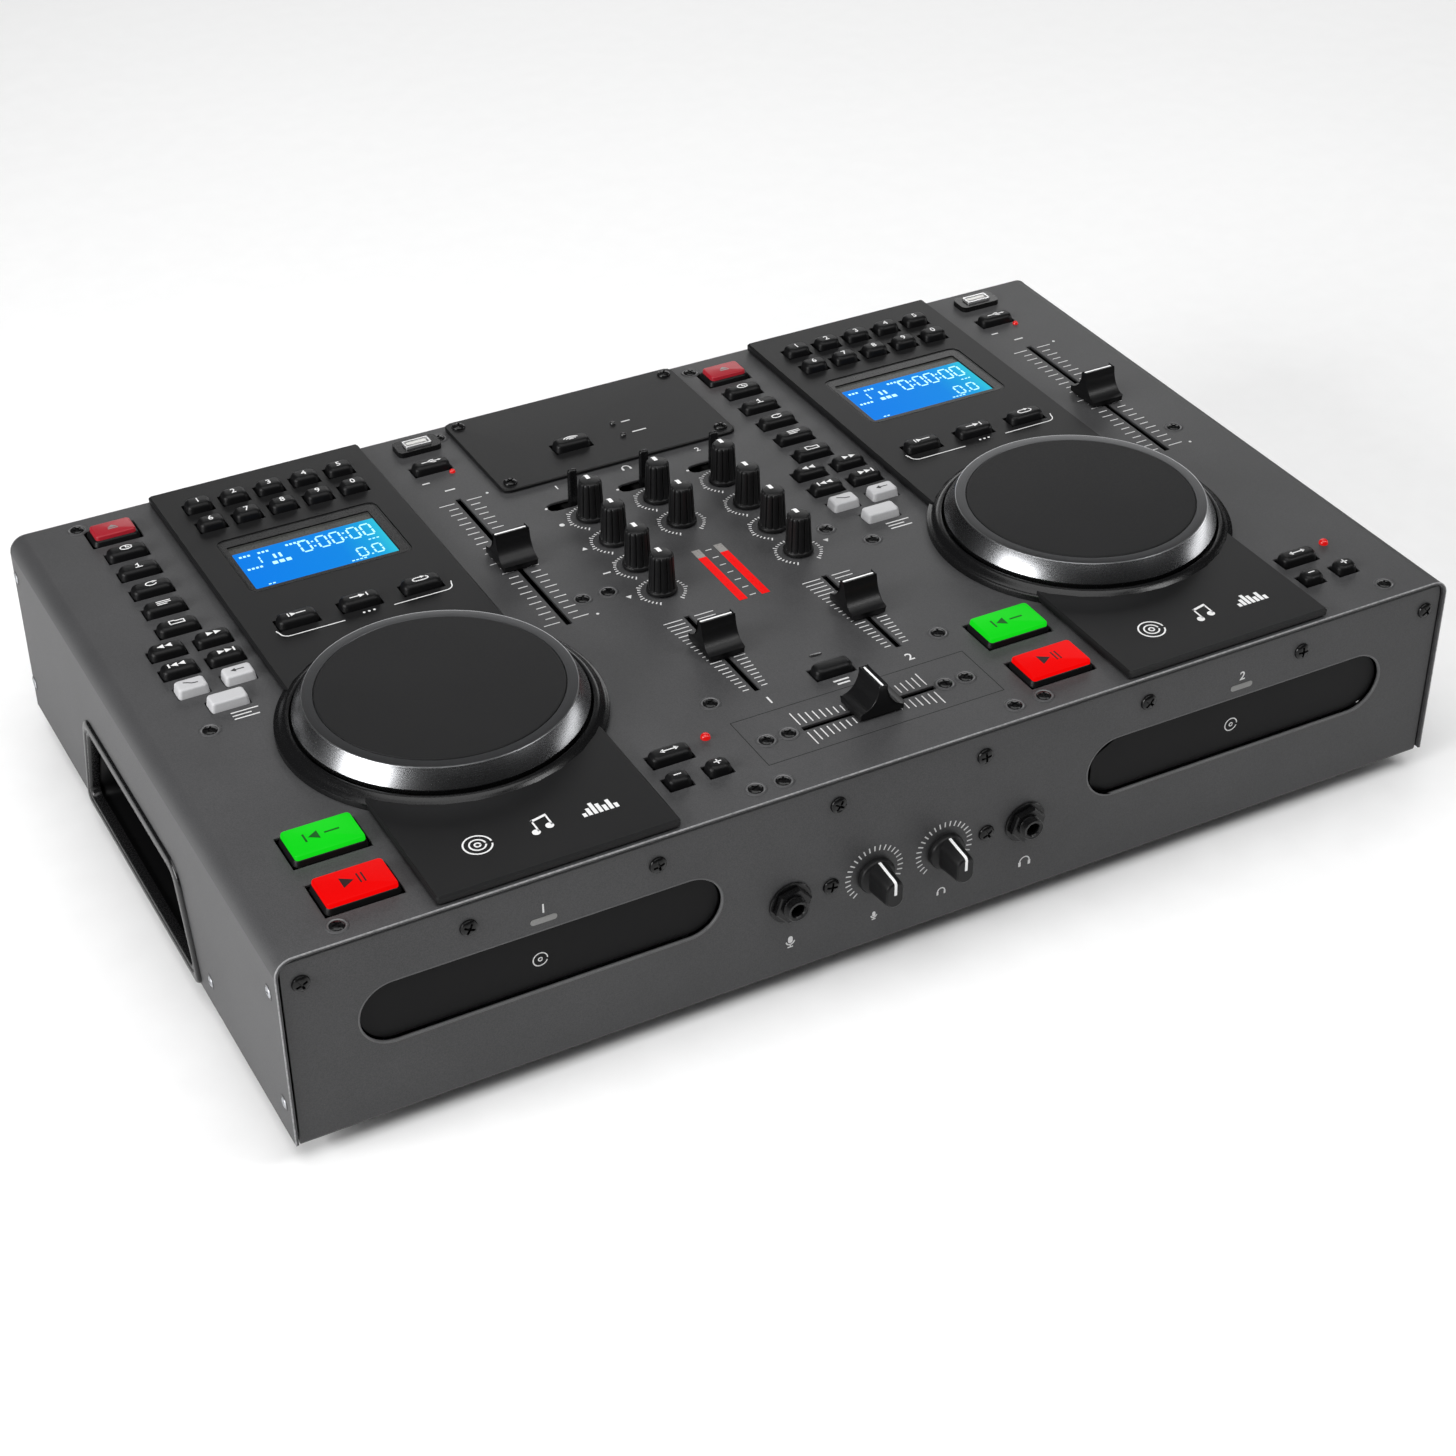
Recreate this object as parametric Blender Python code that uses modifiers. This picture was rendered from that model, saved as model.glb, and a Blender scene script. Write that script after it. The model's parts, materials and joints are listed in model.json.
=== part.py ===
"""A console with two disc decks and a mixer between them, in one folded-steel housing.

Metres, +Z up, the front towards -Y. The origin is at the centre of the object's plan, on the surface that
its feet stand on. The width is the sum of the strips across it, and the depth the sum of what stands on a
deck panel from front to rear.
"""

import math

import bmesh
import bpy
from mathutils import Matrix, Vector

# Fits and facets
CLEARANCE = 0.0003
SLIDE_GAP = 0.0005
OVERRUN = 0.0020
WELD = 0.000001
FLAT_ANGLE = math.radians(0.5)
SMOOTH_ANGLE = math.radians(35)
CORNER_STEPS = 2
BEND_STEPS = 3
SLOT_END_STEPS = 4
END_STEPS = 6
SHAFT_STEPS = 6
HOLE_STEPS = 8
ROUND_STEPS = 12
SEAT_STEPS = 24
WHEEL_STEPS = 32

# Jog wheel, heights from the top face of the cover
JOG_DISC_RADIUS = 0.0565
JOG_TOP_RING_WIDTH = 0.0055
JOG_BEVEL_WIDTH = 0.0050
JOG_HEIGHT = 0.0168
JOG_BEVEL_HEIGHT = 0.0085
JOG_DISC_STEP = 0.0004
JOG_SKIRT_DEPTH = 0.0030
JOG_WALL = 0.0030
JOG_HUB_RADIUS = 0.0100
SPINDLE_RADIUS = 0.0040
SPINDLE_HEIGHT = 0.0100
SPINDLE_FIT = 0.0002
JOG_RADIUS = JOG_DISC_RADIUS + JOG_TOP_RING_WIDTH + JOG_BEVEL_WIDTH

# Ring and well round the jog wheel, in one moulding with the deck panel
JOG_GAP = 0.0015
RING_WIDTH = 0.0068
RING_HEIGHT = 0.0062
RING_EDGE_HEIGHT = 0.0030
RING_LIP_WIDTH = 0.0016
RING_OVERHANG = 0.0188
WELL_DEPTH = 0.0060
WELL_WALL = 0.0020
WELL_HOLE_GAP = 0.0010
WELL_RADIUS = JOG_RADIUS + JOG_GAP
RING_RADIUS = WELL_RADIUS + RING_WIDTH

# Key caps
KEY_WIDTH = 0.0203
KEY_DEPTH = 0.0095
KEY_HEIGHT = 0.0045
KEY_SHOULDER_SHARE = 0.45
KEY_ARCH_STEPS = 3
KEY_HOLE_GAP = 0.0004
WEB_THICKNESS = 0.0020
WEB_MARGIN = 0.0022
NUMBER_KEY_WIDTH = 0.0140
NUMBER_KEY_DEPTH = 0.0100
NUMBER_KEY_SPACING = 0.0188
NUMBER_ROW_GAP = 0.0095
NUMBER_COLUMN_COUNT = 5
LOOP_KEY_SPACING = 0.0315
LOOP_KEY_COUNT = 3

# Display, set in a window of the deck panel
DISPLAY_WIDTH = 0.0830
DISPLAY_DEPTH = 0.0524
DISPLAY_CORNER = 0.0040
DISPLAY_FLANGE = 0.0015
DISPLAY_BODY_DEPTH = 0.0050
DISPLAY_SINK = 0.0004
GLASS_MARGIN = 0.0035
GLASS_RECESS = 0.0008

# Deck panel, from its front edge to its rear edge
PANEL_THICKNESS = 0.0045
PANEL_EDGE = 0.0009
PANEL_CORNER = 0.0015
PANEL_SETBACK = 0.0015
APRON_DEPTH = 0.0497
RING_TO_LOOP_KEYS = 0.0178
LOOP_KEYS_TO_DISPLAY = 0.0280
DISPLAY_TO_NUMBERS = 0.0115
NUMBERS_TO_REAR = 0.0180
PANEL_WIDTH = 2 * (RING_RADIUS - RING_OVERHANG)
PANEL_DEPTH = (
    APRON_DEPTH
    + 2 * RING_RADIUS
    + RING_TO_LOOP_KEYS
    + KEY_DEPTH
    + LOOP_KEYS_TO_DISPLAY
    + DISPLAY_DEPTH
    + DISPLAY_TO_NUMBERS
    + 2 * NUMBER_KEY_DEPTH
    + NUMBER_ROW_GAP
    + NUMBERS_TO_REAR
)

# Strips across the console, from the side to the middle
OUTER_STRIP_WIDTH = 0.0720
INNER_STRIP_WIDTH = 0.0480
MIXER_WIDTH = 0.1340

# Heights up the front plate
BELOW_TRAY = 0.0395
TRAY_OPENING_WIDTH = 0.1700
TRAY_OPENING_HEIGHT = 0.0320
ABOVE_TRAY = 0.0305
BODY_HEIGHT = BELOW_TRAY + TRAY_OPENING_HEIGHT + ABOVE_TRAY
BODY_WIDTH = MIXER_WIDTH + 2 * (INNER_STRIP_WIDTH + PANEL_WIDTH + OUTER_STRIP_WIDTH)
BODY_DEPTH = PANEL_DEPTH + 2 * PANEL_SETBACK
DECK_X = MIXER_WIDTH / 2 + INNER_STRIP_WIDTH + PANEL_WIDTH / 2

# Folded steel
SHEET = 0.0015
COVER_BEND_RADIUS = 0.0085
COVER_LIP = 0.0015
COVER_SIDE_RISE = 0.0020
SEAM_GAP = 0.0012
BASE_BEND_RADIUS = 0.0020
FRONT_FLANGE = 0.0080

# Feet
FOOT_HEIGHT = 0.0100
FOOT_TOP_RADIUS = 0.0130
FOOT_BOTTOM_RADIUS = 0.0110
FOOT_EDGE = 0.0010
FOOT_RECESS_RADIUS = 0.0045
FOOT_RECESS_DEPTH = 0.0060
FOOT_FROM_SIDE = 0.0950
FOOT_FROM_END = 0.0350

# Key strip beside a deck panel
KEYS_FROM_PANEL = 0.0073
KEY_ROWS_FROM_REAR = 0.0432
SINGLE_KEY_PITCH = 0.0189
SINGLE_KEY_COUNT = 5
PAIR_PITCH = 0.0172
PAIR_SPACING = 0.0225
PAIR_KEY_WIDTH = 0.0175
WHITE_KEY_WIDTH = 0.0150
BEND_KEY_WIDTH = 0.0185

# Cue, play and eject buttons: a coloured cap on a wider black base
BUTTON_BASE_WIDTH = 0.0350
BUTTON_BASE_DEPTH = 0.0232
BUTTON_BASE_HEIGHT = 0.0022
BUTTON_CAP_MARGIN = 0.0016
BUTTON_CAP_HEIGHT = 0.0022
BUTTON_EDGE = 0.0006
BUTTON_FLANGE = 0.0015
PLAY_FROM_FRONT = 0.0290
CUE_FROM_PLAY = 0.0360
EJECT_BASE_WIDTH = 0.0250
EJECT_BASE_DEPTH = 0.0170
EJECT_CAP_MARGIN = 0.0025
EJECT_FROM_REAR = 0.0215

# Faders: a saddle cap on a stem that ends in a carrier under the sheet
FADER_CAP_WIDTH = 0.0177
FADER_CAP_LENGTH = 0.0230
FADER_CAP_HEIGHT = 0.0155
FADER_CAP_GAP = 0.0010
FADER_SKIRT_SHARE = 0.20
FADER_RIDGE_SHARE = 0.16
FADER_CURVE_STEPS = 4
FADER_STEM_LENGTH = 0.0070
FADER_STEM_THICKNESS = 0.0018
FADER_SLOT_WIDTH = 0.0030
FADER_CARRIER_WIDTH = 0.0100
FADER_CARRIER_LENGTH = 0.0120
FADER_CARRIER_HEIGHT = 0.0050

# Pitch strip beside a deck panel
FADER_FROM_PANEL = 0.0260
PITCH_SLOT_LENGTH = 0.1310
PITCH_SLOT_FROM_REAR = 0.0720
PITCH_KEY_INSET = 0.0075
PITCH_KEY_FROM_FRONT = 0.0490
STEP_KEY_WIDTH = 0.0115
STEP_KEY_SPACING = 0.0197
STEP_KEY_INSET = 0.0029
STEP_KEY_FROM_FRONT = 0.0310
SOURCE_KEY_FROM_REAR = 0.0375
RUNNER_WIDTH = 0.0040
RUNNER_FROM_SLOT = 0.0140

# Upright USB socket in a raised surround
USB_FROM_REAR = 0.0145
USB_OUTSET = 0.0020
USB_SURROUND_WIDTH = 0.0240
USB_SURROUND_DEPTH = 0.0130
USB_SURROUND_HEIGHT = 0.0030
USB_SURROUND_CORNER = 0.0030
USB_BODY_WIDTH = 0.0200
USB_BODY_DEPTH = 0.0090
USB_BODY_LENGTH = 0.0120
USB_SHELL_WIDTH = 0.0142
USB_SHELL_DEPTH = 0.0068
USB_SHELL_RISE = 0.0012
USB_HOLE_WIDTH = 0.0125
USB_HOLE_DEPTH = 0.0051
USB_HOLE_LENGTH = 0.0100
USB_TONGUE_WIDTH = 0.0112
USB_TONGUE_THICKNESS = 0.0018
USB_TONGUE_OFFSET = 0.0008
USB_TONGUE_SINK = 0.0015

# Ribbed knobs of the mixer
KNOB_SKIRT_RADIUS = 0.0076
KNOB_SKIRT_HEIGHT = 0.0018
KNOB_TOP_RADIUS = 0.0058
KNOB_HEIGHT = 0.0215
KNOB_DOME_HEIGHT = 0.0012
KNOB_DOME_SHARE = 0.80
KNOB_RIB_DEPTH = 0.0005
KNOB_RIB_COUNT = 8
KNOB_GAP = 0.0008
KNOB_SHAFT_RADIUS = 0.0030
KNOB_SHAFT_DEPTH = 0.0060
KNOB_HOLE_GAP = 0.0004
KNOB_COLUMN_SPACING = 0.0375
KNOB_ROW_SPACING = 0.0260
CHANNEL_KNOB_COUNT = 4
MASTER_KNOB_COUNT = 2
KNOBS_FROM_REAR = 0.1200

# Receiver panel behind the mixer
RECEIVER_DEPTH = 0.0785
RECEIVER_THICKNESS = 0.0020
RECEIVER_CORNER = 0.0040
RECEIVER_EDGE = 0.0005
RECEIVER_BUTTON_X_SHARE = -0.125
RECEIVER_BUTTON_Y_SHARE = -0.17
RECEIVER_OPENING_MARGIN = 0.0060

# Selector levers between the receiver panel and the knobs
SELECTOR_SLOT_LENGTH = 0.0180
SELECTOR_SLOT_WIDTH = 0.0080
SELECTOR_SPACING = 0.0400
SELECTOR_SHIFT = -0.0045
SELECTOR_FROM_REAR = 0.1025
LEVER_WIDTH = 0.0050
LEVER_THICKNESS = 0.0030
LEVER_HEIGHT = 0.0190
LEVER_EDGE = 0.0006
LEVER_BASE_WIDTH = 0.0100
LEVER_BASE_DEPTH = 0.0120
LEVER_BASE_HEIGHT = 0.0040

# Mixer faders
CHANNEL_SLOT_LENGTH = 0.0705
CHANNEL_SLOT_FROM_FRONT = 0.1115
CHANNEL_LEFT_REST = 0.0053
CHANNEL_RIGHT_REST = 0.0035
CROSSFADER_FROM_FRONT = 0.0400
CROSSFADER_SLOT_LENGTH = 0.0690
CROSSFADER_REST = 0.0017
FADER_START_FROM_FRONT = 0.0740

# Front sockets and knobs
SOCKET_ROW_HEIGHT = 0.0410
JACK_SPACING = 0.1240
JACK_BORE_RADIUS = 0.0033
JACK_BORE_DEPTH = 0.0240
JACK_SLEEVE_RADIUS = 0.0056
JACK_SLEEVE_LENGTH = 0.0080
JACK_NUT_RADIUS = 0.0086
JACK_NUT_THICKNESS = 0.0030
JACK_WASHER_RADIUS = 0.0095
JACK_WASHER_THICKNESS = 0.0012
JACK_BODY_WIDTH = 0.0160
JACK_BODY_LENGTH = 0.0260
NUT_SIDE_COUNT = 6
FRONT_KNOB_SPACING = 0.0370
FRONT_KNOB_SKIRT_RADIUS = 0.0092
FRONT_KNOB_SKIRT_LENGTH = 0.0040
FRONT_KNOB_BAR_WIDTH = 0.0105
FRONT_KNOB_LENGTH = 0.0180
FRONT_KNOB_TAPER_SHARE = 0.86
FRONT_KNOB_GAP = 0.0008

# Disc tray
TRAY_DOOR_GAP = 0.0008
TRAY_DOOR_THICKNESS = 0.0060
TRAY_DOOR_SINK = 0.0006
TRAY_DOOR_EDGE = 0.0006
TRAY_WIDTH = 0.1400
TRAY_LENGTH = 0.1680
TRAY_THICKNESS = 0.0070
TRAY_CORNER = 0.0040
DISC_RADIUS = 0.0600
DISC_SEAT_GAP = 0.0010
DISC_SEAT_DEPTH = 0.0016
SMALL_DISC_SEAT_RADIUS = 0.0410
SMALL_DISC_SEAT_DEPTH = 0.0030
DISC_FROM_DOOR = 0.0700
TRAY_SLOT_RADIUS = 0.0180
FINGER_RADIUS = 0.0110
FINGER_ANGLE = math.radians(45)
TRAY_OUTSET = 0.0095

# Disc drive that carries the tray
DRIVE_WALL = 0.0020
DRIVE_ABOVE_TRAY = 0.0160
DRIVE_BELOW_TRAY = 0.0130
DRIVE_TOP_LEDGE = 0.0080
DRIVE_RAIL_WIDTH = 0.0060
DRIVE_RAIL_THICKNESS = 0.0025
DRIVE_LENGTH = 0.1900
DRIVE_LEG_WIDTH = 0.0120
BRIDGE_WIDTH = 0.0300
BRIDGE_THICKNESS = 0.0030
CLAMP_RADIUS = 0.0150
CLAMP_ABOVE_TRAY = 0.0065
TURNTABLE_RADIUS = 0.0130
TURNTABLE_BELOW_TRAY = 0.0008
MOTOR_RADIUS = 0.0110
SLED_WIDTH = 0.0280
SLED_LENGTH = 0.0320
SLED_HEIGHT = 0.0080
SLED_GAP = 0.0040

# Handle cups in the sides
HANDLE_BEHIND_MIDDLE = 0.0130
HANDLE_TOP_LENGTH = 0.1260
HANDLE_BOTTOM_LENGTH = 0.1560
HANDLE_LOW = 0.0060
HANDLE_HIGH = 0.0560
HANDLE_CORNER = 0.0080
HANDLE_MOUTH_MARGIN = 0.0006
HANDLE_FLANGE = 0.0030
HANDLE_SLOPE_DEPTH = 0.0090
HANDLE_SLOPE_DROP = 0.0150
HANDLE_SLOPE_INSET = 0.0050
HANDLE_DEPTH = 0.0300
HANDLE_DRAFT = 0.0020
HANDLE_WALL = 0.0018

# Rear sockets and mains inlet
SOCKET_COLUMN_COUNT = 4
SOCKET_ROW_COUNT = 2
SOCKET_SPACING = 0.0220
SOCKET_ROW_SPACING = 0.0180
SOCKET_BARREL_RADIUS = 0.0042
SOCKET_BARREL_LENGTH = 0.0095
SOCKET_BORE_RADIUS = 0.0018
SOCKET_BORE_DEPTH = 0.0080
SOCKET_BLOCK_MARGIN = 0.0080
SOCKET_BLOCK_DEPTH = 0.0120
SOCKET_BLOCK_CORNER = 0.0010
SOCKETS_UP = 0.0500
INLET_FROM_SIDE = 0.0800
INLET_UP = 0.0500
INLET_WIDTH = 0.0290
INLET_HEIGHT = 0.0480
INLET_FLANGE = 0.0050
INLET_FLANGE_THICKNESS = 0.0020
INLET_DEPTH = 0.0260
INLET_CORNER = 0.0020
INLET_HOLE_WIDTH = 0.0242
INLET_HOLE_HEIGHT = 0.0168
INLET_HOLE_DEPTH = 0.0170
INLET_HOLE_DROP = 0.0110
INLET_HOLE_CORNER = 0.0050
PIN_WIDTH = 0.0020
PIN_HEIGHT = 0.0040
PIN_LENGTH = 0.0140
PIN_SPACING = 0.0070
PIN_RAISE = 0.0020
ROCKER_WIDTH = 0.0170
ROCKER_HEIGHT = 0.0120
ROCKER_THICKNESS = 0.0060
ROCKER_RISE = 0.0120
ROCKER_GAP = 0.0006
ROCKER_PROUD = 0.0020
ROCKER_BACK_SHARE = 0.8
ROCKER_ANGLE = math.radians(8)
ROCKER_WELL_DEPTH = 0.0100

# Heights and edges that the pieces share
BASE_Z = FOOT_HEIGHT + CLEARANCE
COVER_Z = BASE_Z + BODY_HEIGHT
UNDER_COVER = COVER_Z - SHEET - CLEARANCE
FRONT_REACH = max(FRONT_KNOB_GAP + FRONT_KNOB_LENGTH, JACK_SLEEVE_LENGTH) - COVER_LIP
REAR_REACH = max(SOCKET_BARREL_LENGTH, INLET_FLANGE_THICKNESS) - COVER_LIP
MIDDLE_Y = (FRONT_REACH - REAR_REACH) / 2
FRONT_Y = MIDDLE_Y - BODY_DEPTH / 2
REAR_Y = MIDDLE_Y + BODY_DEPTH / 2
PLATE_FRONT_Y = FRONT_Y + COVER_LIP
PLATE_REAR_Y = REAR_Y - COVER_LIP
BASE_WIDTH = BODY_WIDTH - 2 * (SHEET + SEAM_GAP)
TRAY_Z = BASE_Z + BELOW_TRAY + TRAY_OPENING_HEIGHT / 2
TRAY_X = DECK_X + TRAY_OUTSET
SOCKET_ROW_Z = BASE_Z + SOCKET_ROW_HEIGHT
INLET_X = BODY_WIDTH / 2 - INLET_FROM_SIDE
JOG_Y = FRONT_Y + PANEL_SETBACK + APRON_DEPTH + RING_RADIUS
LOOP_ROW_Y = JOG_Y + RING_RADIUS + RING_TO_LOOP_KEYS + KEY_DEPTH / 2
DISPLAY_Y = LOOP_ROW_Y + KEY_DEPTH / 2 + LOOP_KEYS_TO_DISPLAY + DISPLAY_DEPTH / 2
NUMBER_ROW_Y = DISPLAY_Y + DISPLAY_DEPTH / 2 + DISPLAY_TO_NUMBERS + NUMBER_KEY_DEPTH / 2
NUMBER_ROW_PITCH = NUMBER_KEY_DEPTH + NUMBER_ROW_GAP
KEY_COLUMN = -(PANEL_WIDTH / 2 + KEYS_FROM_PANEL + BUTTON_BASE_WIDTH / 2)
FADER_COLUMN = PANEL_WIDTH / 2 + FADER_FROM_PANEL

COLOURS = {
    "charcoal_steel": ((0.075, 0.077, 0.080), 0.55, 0.5),
    "black_panel": ((0.020, 0.020, 0.022), 0.45, 0.0),
    "black_plastic": ((0.015, 0.015, 0.016), 0.35, 0.0),
    "grey_metal": ((0.30, 0.31, 0.32), 0.30, 0.9),
    "drive_metal": ((0.45, 0.46, 0.48), 0.45, 0.8),
    "green_cap": ((0.01, 0.80, 0.02), 0.40, 0.0),
    "red_cap": ((0.85, 0.01, 0.01), 0.40, 0.0),
    "eject_red": ((0.55, 0.02, 0.04), 0.35, 0.0),
    "display_blue": ((0.01, 0.25, 0.90), 0.20, 0.0),
    "rubber": ((0.02, 0.02, 0.02), 0.85, 0.0),
}

SIDES = (("left", -1), ("right", 1))


def clear_scene():
    """Remove every object of the file."""
    for thing in list(bpy.data.objects):
        bpy.data.objects.remove(thing, do_unlink=True)


def new_collection(name, parent):
    collection = bpy.data.collections.new(name)
    parent.children.link(collection)
    return collection


def make_materials():
    made = {}
    for name, (colour, roughness, metallic) in COLOURS.items():
        material = bpy.data.materials.new(name)
        material.use_nodes = True
        shader = material.node_tree.nodes["Principled BSDF"]
        shader.inputs["Base Color"].default_value = (*colour, 1)
        shader.inputs["Roughness"].default_value = roughness
        shader.inputs["Metallic"].default_value = metallic
        material.diffuse_color = (*colour, 1)
        made[name] = material
    return made


# Outlines, as lists of points in a plane


def rounded_path(corners, steps=CORNER_STEPS, closed=True):
    """Points of a path whose corners, given as (u, v, radius), are rounded by arcs."""
    points = []
    count = len(corners)
    for index, (u, v, radius) in enumerate(corners):
        corner = Vector((u, v))
        at_end = not closed and index in (0, count - 1)
        if at_end or radius == 0:
            points.append(corner)
            continue
        before = (Vector(corners[index - 1][:2]) - corner).normalized()
        after = (Vector(corners[(index + 1) % count][:2]) - corner).normalized()
        half = before.angle(after) / 2
        centre = corner + (before + after).normalized() * (radius / math.sin(half))
        start = corner + before * (radius / math.tan(half)) - centre
        sweep = start.angle_signed(corner + after * (radius / math.tan(half)) - centre)
        for step in range(steps + 1):
            points.append(centre + Matrix.Rotation(-sweep * step / steps, 2) @ start)
    return points


def rectangle(width, depth, radius):
    """A rectangle about the origin, with rounded corners."""
    signs = ((1, 1), (-1, 1), (-1, -1), (1, -1))
    return rounded_path([(x * width / 2, y * depth / 2, radius) for x, y in signs])


def stadium(width, height, steps=END_STEPS):
    """A slot outline with half-round ends."""
    radius = height / 2
    points = []
    for side in (1, -1):
        for step in range(steps + 1):
            angle = math.pi * step / steps - math.pi / 2
            u = width / 2 - radius + radius * math.cos(angle)
            points.append(side * Vector((u, radius * math.sin(angle))))
    return points


def open_slot(radius, end, middle):
    """A slot outline that is square at v = end and half round about v = middle, below it."""
    points = [Vector((radius, end)), Vector((-radius, end))]
    for step in range(END_STEPS + 1):
        angle = math.pi + math.pi * step / END_STEPS
        points.append(Vector((radius * math.cos(angle), middle + radius * math.sin(angle))))
    return points


def arch(depth, low, high, shoulder):
    """The end outline of a key: upright sides and a rounded ridge."""
    points = [Vector((-depth / 2, low)), Vector((depth / 2, low))]
    for step in range(KEY_ARCH_STEPS + 1):
        angle = math.pi * step / KEY_ARCH_STEPS
        v = shoulder + (high - shoulder) * math.sin(angle)
        points.append(Vector((depth / 2 * math.cos(angle), v)))
    return points


def shifted(outline, u, v):
    return [point + Vector((u, v)) for point in outline]


# Meshes

AXES = {
    "X": Matrix(((0, 0, 1, 0), (1, 0, 0, 0), (0, 1, 0, 0), (0, 0, 0, 1))),
    "Y": Matrix(((1, 0, 0, 0), (0, 0, 1, 0), (0, 1, 0, 0), (0, 0, 0, 1))),
    "Z": Matrix.Identity(4),
}


def tidied(bm, name):
    """Weld, merge flat facets and turn the faces of a closed shape outwards."""
    bmesh.ops.remove_doubles(bm, verts=bm.verts, dist=WELD)
    bmesh.ops.dissolve_limit(bm, angle_limit=FLAT_ANGLE, verts=bm.verts, edges=bm.edges)
    bmesh.ops.recalc_face_normals(bm, faces=bm.faces)
    mesh = bpy.data.meshes.new(name)
    bm.to_mesh(mesh)
    bm.free()
    return mesh


def baked(thing):
    """The plain mesh of a curve or of an object with modifiers, which is removed."""
    bpy.context.scene.collection.objects.link(thing)
    bpy.context.view_layer.update()
    graph = bpy.context.evaluated_depsgraph_get()
    source = bpy.data.meshes.new_from_object(thing.evaluated_get(graph))
    bm = bmesh.new()
    bm.from_mesh(source)
    name = thing.name
    bpy.data.objects.remove(thing, do_unlink=True)
    return tidied(bm, name)


def laid(mesh, low, high, axis):
    """A mesh made about the origin, moved so that it reaches from low to high along an axis."""
    mesh.transform(AXES[axis] @ Matrix.Translation((0, 0, (low + high) / 2)))
    bm = bmesh.new()
    bm.from_mesh(mesh)
    bmesh.ops.recalc_face_normals(bm, faces=bm.faces)
    bm.to_mesh(mesh)
    bm.free()
    return mesh


def chamfered(bm, edge):
    """A primitive whose far rim is cut back by edge."""
    rim = [side for side in bm.edges if all(vert.co.z > 0 for vert in side.verts)]
    if edge > 0:
        bmesh.ops.bevel(bm, geom=rim, offset=edge, segments=1, affect="EDGES")
    return bm


def box(width, depth, low, high, axis="Z", edge=0.0):
    """A block about an axis, from low to high along it."""
    height = high - low
    bm = bmesh.new()
    bmesh.ops.create_cube(bm, size=height)
    bmesh.ops.scale(bm, vec=(width / height, depth / height, 1), verts=bm.verts)
    return laid(tidied(chamfered(bm, edge), "box"), low, high, axis)


def cylinder(radius, low, high, axis="Z", steps=ROUND_STEPS, edge=0.0):
    """A cylinder about an axis, from low to high along it."""
    bm = bmesh.new()
    bmesh.ops.create_cone(
        bm, cap_ends=True, segments=steps, radius1=radius, radius2=radius, depth=high - low
    )
    return laid(tidied(chamfered(bm, edge), "cylinder"), low, high, axis)


def prism(outline, low, high, axis="Z", edge=0.0):
    """A flat outline given thickness along an axis, its rims chamfered by edge."""
    curve = bpy.data.curves.new("prism", "CURVE")
    curve.dimensions = "2D"
    curve.fill_mode = "BOTH"
    curve.extrude = (high - low) / 2 - edge
    curve.bevel_depth = edge
    curve.bevel_resolution = 0
    curve.offset = -edge
    points = []
    for point in outline:
        if not points or (point - points[-1]).length > WELD:
            points.append(point)
    if (points[0] - points[-1]).length <= WELD:
        points.pop()
    spline = curve.splines.new("POLY")
    spline.points.add(len(points) - 1)
    for place, point in zip(spline.points, points):
        place.co = (point.x, point.y, 0, 1)
    spline.use_cyclic_u = True
    return laid(baked(bpy.data.objects.new("prism", curve)), low, high, axis)


def turned(profile, steps=ROUND_STEPS):
    """A profile of (radius, height), outer side from top to bottom, turned about Z."""
    mesh = bpy.data.meshes.new("turned")
    edges = [(index, index + 1) for index in range(len(profile) - 1)]
    mesh.from_pydata([(radius, 0, height) for radius, height in profile], edges, [])
    thing = bpy.data.objects.new("turned", mesh)
    screw = thing.modifiers.new("screw", "SCREW")
    screw.axis = "Z"
    screw.angle = math.tau
    screw.steps = steps
    screw.render_steps = steps
    screw.use_merge_vertices = True
    screw.merge_threshold = WELD
    return baked(thing)


def loft(loops, closed=True, cap_first=True, cap_last=True):
    """Faces from each loop of points to the next, with the end loops filled if asked."""
    bm = bmesh.new()
    rings = [[bm.verts.new(point) for point in loop] for loop in loops]
    for ring, following in zip(rings, rings[1:]):
        count = len(ring)
        for index in range(count if closed else count - 1):
            after = (index + 1) % count
            bm.faces.new((ring[index], ring[after], following[after], following[index]))
    if cap_first:
        bm.faces.new(list(reversed(rings[0])))
    if cap_last:
        bm.faces.new(rings[-1])
    return bm


def thickened(bm, thickness):
    """An open surface made a shell, its thickness laid behind the faces."""
    mesh = bpy.data.meshes.new("sheet")
    bm.to_mesh(mesh)
    bm.free()
    thing = bpy.data.objects.new("sheet", mesh)
    solidify = thing.modifiers.new("thickness", "SOLIDIFY")
    solidify.thickness = thickness
    solidify.offset = -1
    solidify.use_even_offset = True
    return baked(thing)


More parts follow.
